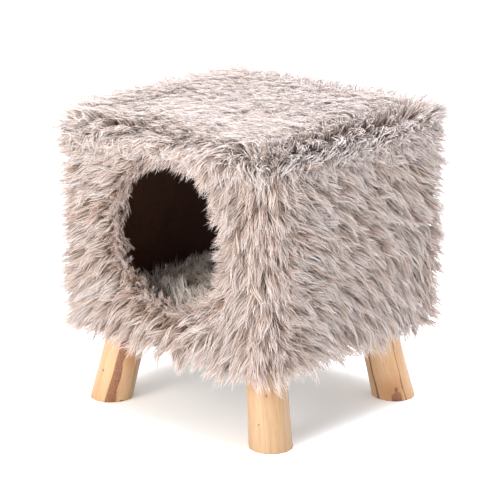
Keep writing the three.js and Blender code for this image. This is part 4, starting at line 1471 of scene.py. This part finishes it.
    def mark(self, log, own, turn, corner, index):
        """Stores where each point lies in the straight log, and its bark, knots and warm wood."""
        marks = self.MARKS[corner]
        offset = np.array([0.0, 0.0, self.GRAIN_SHIFT * index])
        bark = np.zeros(len(own))
        for at, wide, left in marks["strips"]:
            aside = self.degrees_from(turn, at) + self.RAGGED * soft_noise(61 + index, own, 20 * MM)
            foot_wide = wide * (1 + self.FLARE * (1 - ramp(own[:, 2], 0, self.FOOT_FLARE)))
            bark = np.maximum(bark, np.clip(1.4 - np.abs(aside) / foot_wide, 0, 1) * left)
        for at, high, radius in marks["knots"]:
            across = np.radians(self.degrees_from(turn, at)) * self.LOG_RADIUS
            out = np.hypot(across, (own[:, 2] - high) * 0.8)
            bark = np.maximum(bark, np.clip(1.35 - out / radius, 0, 0.8))
        at, high = marks["patch"]
        aside = self.degrees_from(turn, at) / self.PATCH_DEGREES
        above = (own[:, 2] - high) / self.PATCH_HEIGHT
        warm = marks["warm"] + np.exp(-aside ** 2 - above ** 2)
        warm = warm + 0.3 * soft_noise(81 + index, own * [1, 1, 0.25], 20 * MM)
        for name, kind, field, values in (
            ("log_grain", "FLOAT_VECTOR", "vector", own + offset),
            ("bark_left", "FLOAT", "value", bark),
            ("warm_wood", "FLOAT", "value", warm),
            # The pale factor is painted light: it brightens each leg by as much as the cabin shades it.
            ("log_tone", "FLOAT", "value", np.full(len(own), marks["pale"])),
        ):
            attribute = log.data.attributes.new(name, kind, "POINT")
            attribute.data.foreach_set(field, np.asarray(values, np.float32).ravel())

    def degrees_from(self, turn, at):
        """Signed degrees round the log from the place at to each turn, between -180 and 180."""
        return np.degrees(np.angle(np.exp(1j * (turn - math.radians(at)))))


class CABIN_OT_cushion(bpy.types.Operator):
    """Makes the loose cushion: a stuffed pad with a sewn seam round its sides and a plush top"""

    bl_idname = "cat_cabin.cushion"
    bl_label = "Make the Cushion"

    CORNER, EDGE = 42 * MM, 8 * MM
    VOXEL = 5 * MM
    FLOOR_GAP = 0.2 * MM
    # How full the pad is, from 0, slack, to 1, tight, and how long its cloth settles.
    FILL = 0.55
    CLOTH_STEPS, CLOTH_QUALITY = 20, 5
    # The seam: its height as a share of the cushion's, its depth, the band that it draws in, how far
    # in from the sides it reaches and how wide its puckers are.
    SEAM_HEIGHT = 0.45
    SEAM_DEPTH, SEAM_BAND, SEAM_REACH, PUCKER_WIDTH = 2 * MM, 4 * MM, 20 * MM, 12 * MM
    # Where the cushion's pile begins to stand up and where it is upright, as shares of half its size.
    EDGE_STAND = (0.5, 0.3)
    SEED = 77
    RAY_START = 0.1

    def execute(self, context):
        settings = context.scene.cabin_cushion
        cloth = knit_material("cushion_backing_knit", "#7d6a5f", "#5e4c42", 2.0 * MM)
        pad = self.pad(settings, cloth)
        self.pile(pad, settings)
        return {"FINISHED"}

    def pad(self, settings, cloth):
        """The stuffed pad: a rounded box a little too small, swollen, laid flat and seamed."""
        inset = settings.most_swell
        size = CUSHION_HIGH - Vector((CUSHION_LOW.x, CUSHION_LOW.y, CUSHION_FLOOR))
        middle = Vector((0, 0, CUSHION_FLOOR + size.z / 2))
        pad = box_piece(middle, (size.x - 2 * inset, size.y - 2 * inset, size.z - inset))
        bevel_where(pad, lambda edge: edge_rise(pad, edge) > size.z / 3, self.CORNER, 8)
        bevel_where(pad, lambda edge: edge_rise(pad, edge) < 1 * MM, self.EDGE, 3)
        apply_modifier(pad, "REMESH", mode="VOXEL", voxel_size=self.VOXEL)
        self.swell(pad, settings)
        points = positions(pad)
        points[:, 2] = np.maximum(points[:, 2], CUSHION_FLOOR + self.FLOOR_GAP)
        set_positions(pad, points)
        apply_modifier(pad, "SUBSURF", levels=1, render_levels=1)
        self.seam(pad, CUSHION_FLOOR + size.z * self.SEAM_HEIGHT, half=size.x / 2 - 2 * inset)
        keep_only(pad)
        bpy.ops.object.shade_smooth()
        settle(pad, "cushion_pad", cloth)
        belongs(pad, "cushion", "plush", "cushion_top_cover", "cushion_base_cover", "cushion_filling")
        return pad

    def seam(self, pad, height, half):
        """Pulls the cover in along the seam that joins the cushion's top to its base."""
        points = positions(pad)
        at_side = np.abs(points[:, :2]).max(1) > half - self.SEAM_REACH
        near = np.clip(1 - np.abs(points[:, 2] - height) / self.SEAM_BAND, 0, 1) * at_side
        pucker = 1 + 0.5 * soft_noise(95, points, self.PUCKER_WIDTH)
        aside = unit(points * [1, 1, 0])
        set_positions(pad, points - aside * (self.SEAM_DEPTH * near * pucker)[:, None])

    def swell(self, pad, settings):
        """Lets the stuffing press the cover out, and holds each point within the most swell."""
        before = positions(pad)
        keep_only(pad)
        cloth = pad.modifiers.new("stuffing", "CLOTH")
        cloth.settings.use_pressure = True
        cloth.settings.uniform_pressure_force = settings.pressure
        cloth.settings.effector_weights.gravity = 0
        cloth.settings.quality = self.CLOTH_QUALITY
        scene = bpy.context.scene
        for step in range(self.CLOTH_STEPS):
            scene.frame_set(step + 1)
        shaped = pad.evaluated_get(bpy.context.evaluated_depsgraph_get())
        moved = positions(shaped) - before
        travel = np.linalg.norm(moved, axis=1, keepdims=True)
        moved *= np.minimum(1.0, settings.most_swell / np.maximum(travel, 1e-9))
        pad.modifiers.remove(cloth)
        scene.frame_set(1)
        set_positions(pad, before + moved)

    def pile(self, pad, settings):
        """The cushion's own pile: it stands up along the edges and lies trodden in the middle."""
        # The cushion's hair is far paler than the cabin's: painted light, which makes up for the shade
        # inside the cabin.
        fur = pile_material(
            "acrylic_pile_trodden", CUSHION_BROWN_HAIR, CUSHION_PALE_HAIR, CUSHION_COOL_HAIR)
        rng = np.random.default_rng(self.SEED)
        look = dict(UNDERFUR, outline=BETWEEN_LININGS, spacing=8.2 * MM, root_spread=6.0 * MM,
                    strands=8, width=(0.9 * MM, 1.6 * MM), length=span(settings.pile_length, 0.8, 1.15),
                    body="cushion", brown_share=0.2, tone=0.66, gather=(0.15, 0.5), stray=2.5 * MM)
        half_x, half_y = CUSHION_HIGH.x, CUSHION_HIGH.y
        cells = scatter_cells(rng, (-half_x, -half_y), (half_x, half_y), look["spacing"])
        surface = BVHTree.FromObject(pad, bpy.context.evaluated_depsgraph_get())
        centres, normals = self.land(surface, cells)
        kept = np.isfinite(centres[:, 2])
        cells, centres, normals = cells[kept], centres[kept], normals[kept]
        count = len(cells)
        edge = np.maximum(np.abs(centres[:, 0]) / half_x, np.abs(centres[:, 1]) / half_y)
        upright = ramp(edge, *self.EDGE_STAND)
        turn = math.pi * (soft_noise(91, centres, 50 * MM) + soft_noise(92, centres, 20 * MM))
        flow = np.stack([np.cos(turn), np.sin(turn), np.zeros(count)], 1)
        flow = unit(flow - normals * (flow * normals).sum(1, keepdims=True))
        locks = {"centre": centres, "normal": normals, "flow": flow,
                 "length": rng.uniform(*look["length"], count),
                 "lift": np.radians(14 + 52 * upright + rng.uniform(-8, 12, count)),
                 "tone": look["tone"] - 0.15 + 0.35 * upright + rng.normal(0, 0.1, count)}
        lock_of = np.repeat(np.arange(count), look["strands"])
        spots = cells[lock_of] + disc(rng, len(lock_of), look["root_spread"])
        roots = self.land(surface, spots)[0]
        inside = np.isfinite(roots[:, 2])
        grow("cushion_pile", rng, locks, roots[inside], lock_of[inside], look, fur)

    def land(self, surface, spots):
        """Where plan points fall on the pad from above, and the pad's normal there."""
        points, normals = np.full((len(spots), 3), np.nan), np.full((len(spots), 3), np.nan)
        start = CUSHION_HIGH.z + self.RAY_START
        for index, (x, y) in enumerate(spots):
            hit, normal, _, _ = surface.ray_cast(Vector((x, y, start)), -UP)
            if hit is not None:
                points[index], normals[index] = hit, normal
        return points, normals


class CABIN_PT_panel(bpy.types.Panel):
    """Lists the cabin's pieces in the order they are made"""

    bl_idname = "CABIN_PT_panel"
    bl_label = "Cat Cabin"
    bl_space_type = "VIEW_3D"
    bl_region_type = "UI"
    bl_category = "Cat Cabin"

    def draw(self, context):
        column = self.layout.column()
        for operator in OPERATORS:
            column.operator(operator.bl_idname)
        for group in GROUPS:
            settings = getattr(context.scene, group)
            box = self.layout.box()
            for name in settings.bl_rna.properties.keys():
                if name not in ("rna_type", "name"):
                    box.prop(settings, name)


OPERATORS = (CABIN_OT_stage, CABIN_OT_frame_finishes, CABIN_OT_linings, CABIN_OT_wrap,
             CABIN_OT_legs, CABIN_OT_cushion, CABIN_OT_pile)
GROUPS = {"cabin_stage": StageSettings, "cabin_plush": PlushSettings, "cabin_legs": LegSettings,
          "cabin_cushion": CushionSettings}


def register():
    for cls in (*GROUPS.values(), *OPERATORS, CABIN_PT_panel):
        bpy.utils.register_class(cls)
    for name, group in GROUPS.items():
        setattr(bpy.types.Scene, name, PointerProperty(type=group))


def unregister():
    for name in GROUPS:
        delattr(bpy.types.Scene, name)
    for cls in (CABIN_PT_panel, *reversed(OPERATORS), *GROUPS.values()):
        bpy.utils.unregister_class(cls)


def main():
    register()
    for operator in OPERATORS:
        family, action = operator.bl_idname.split(".")
        getattr(getattr(bpy.ops, family), action)()


if __name__ == "__main__":
    main()
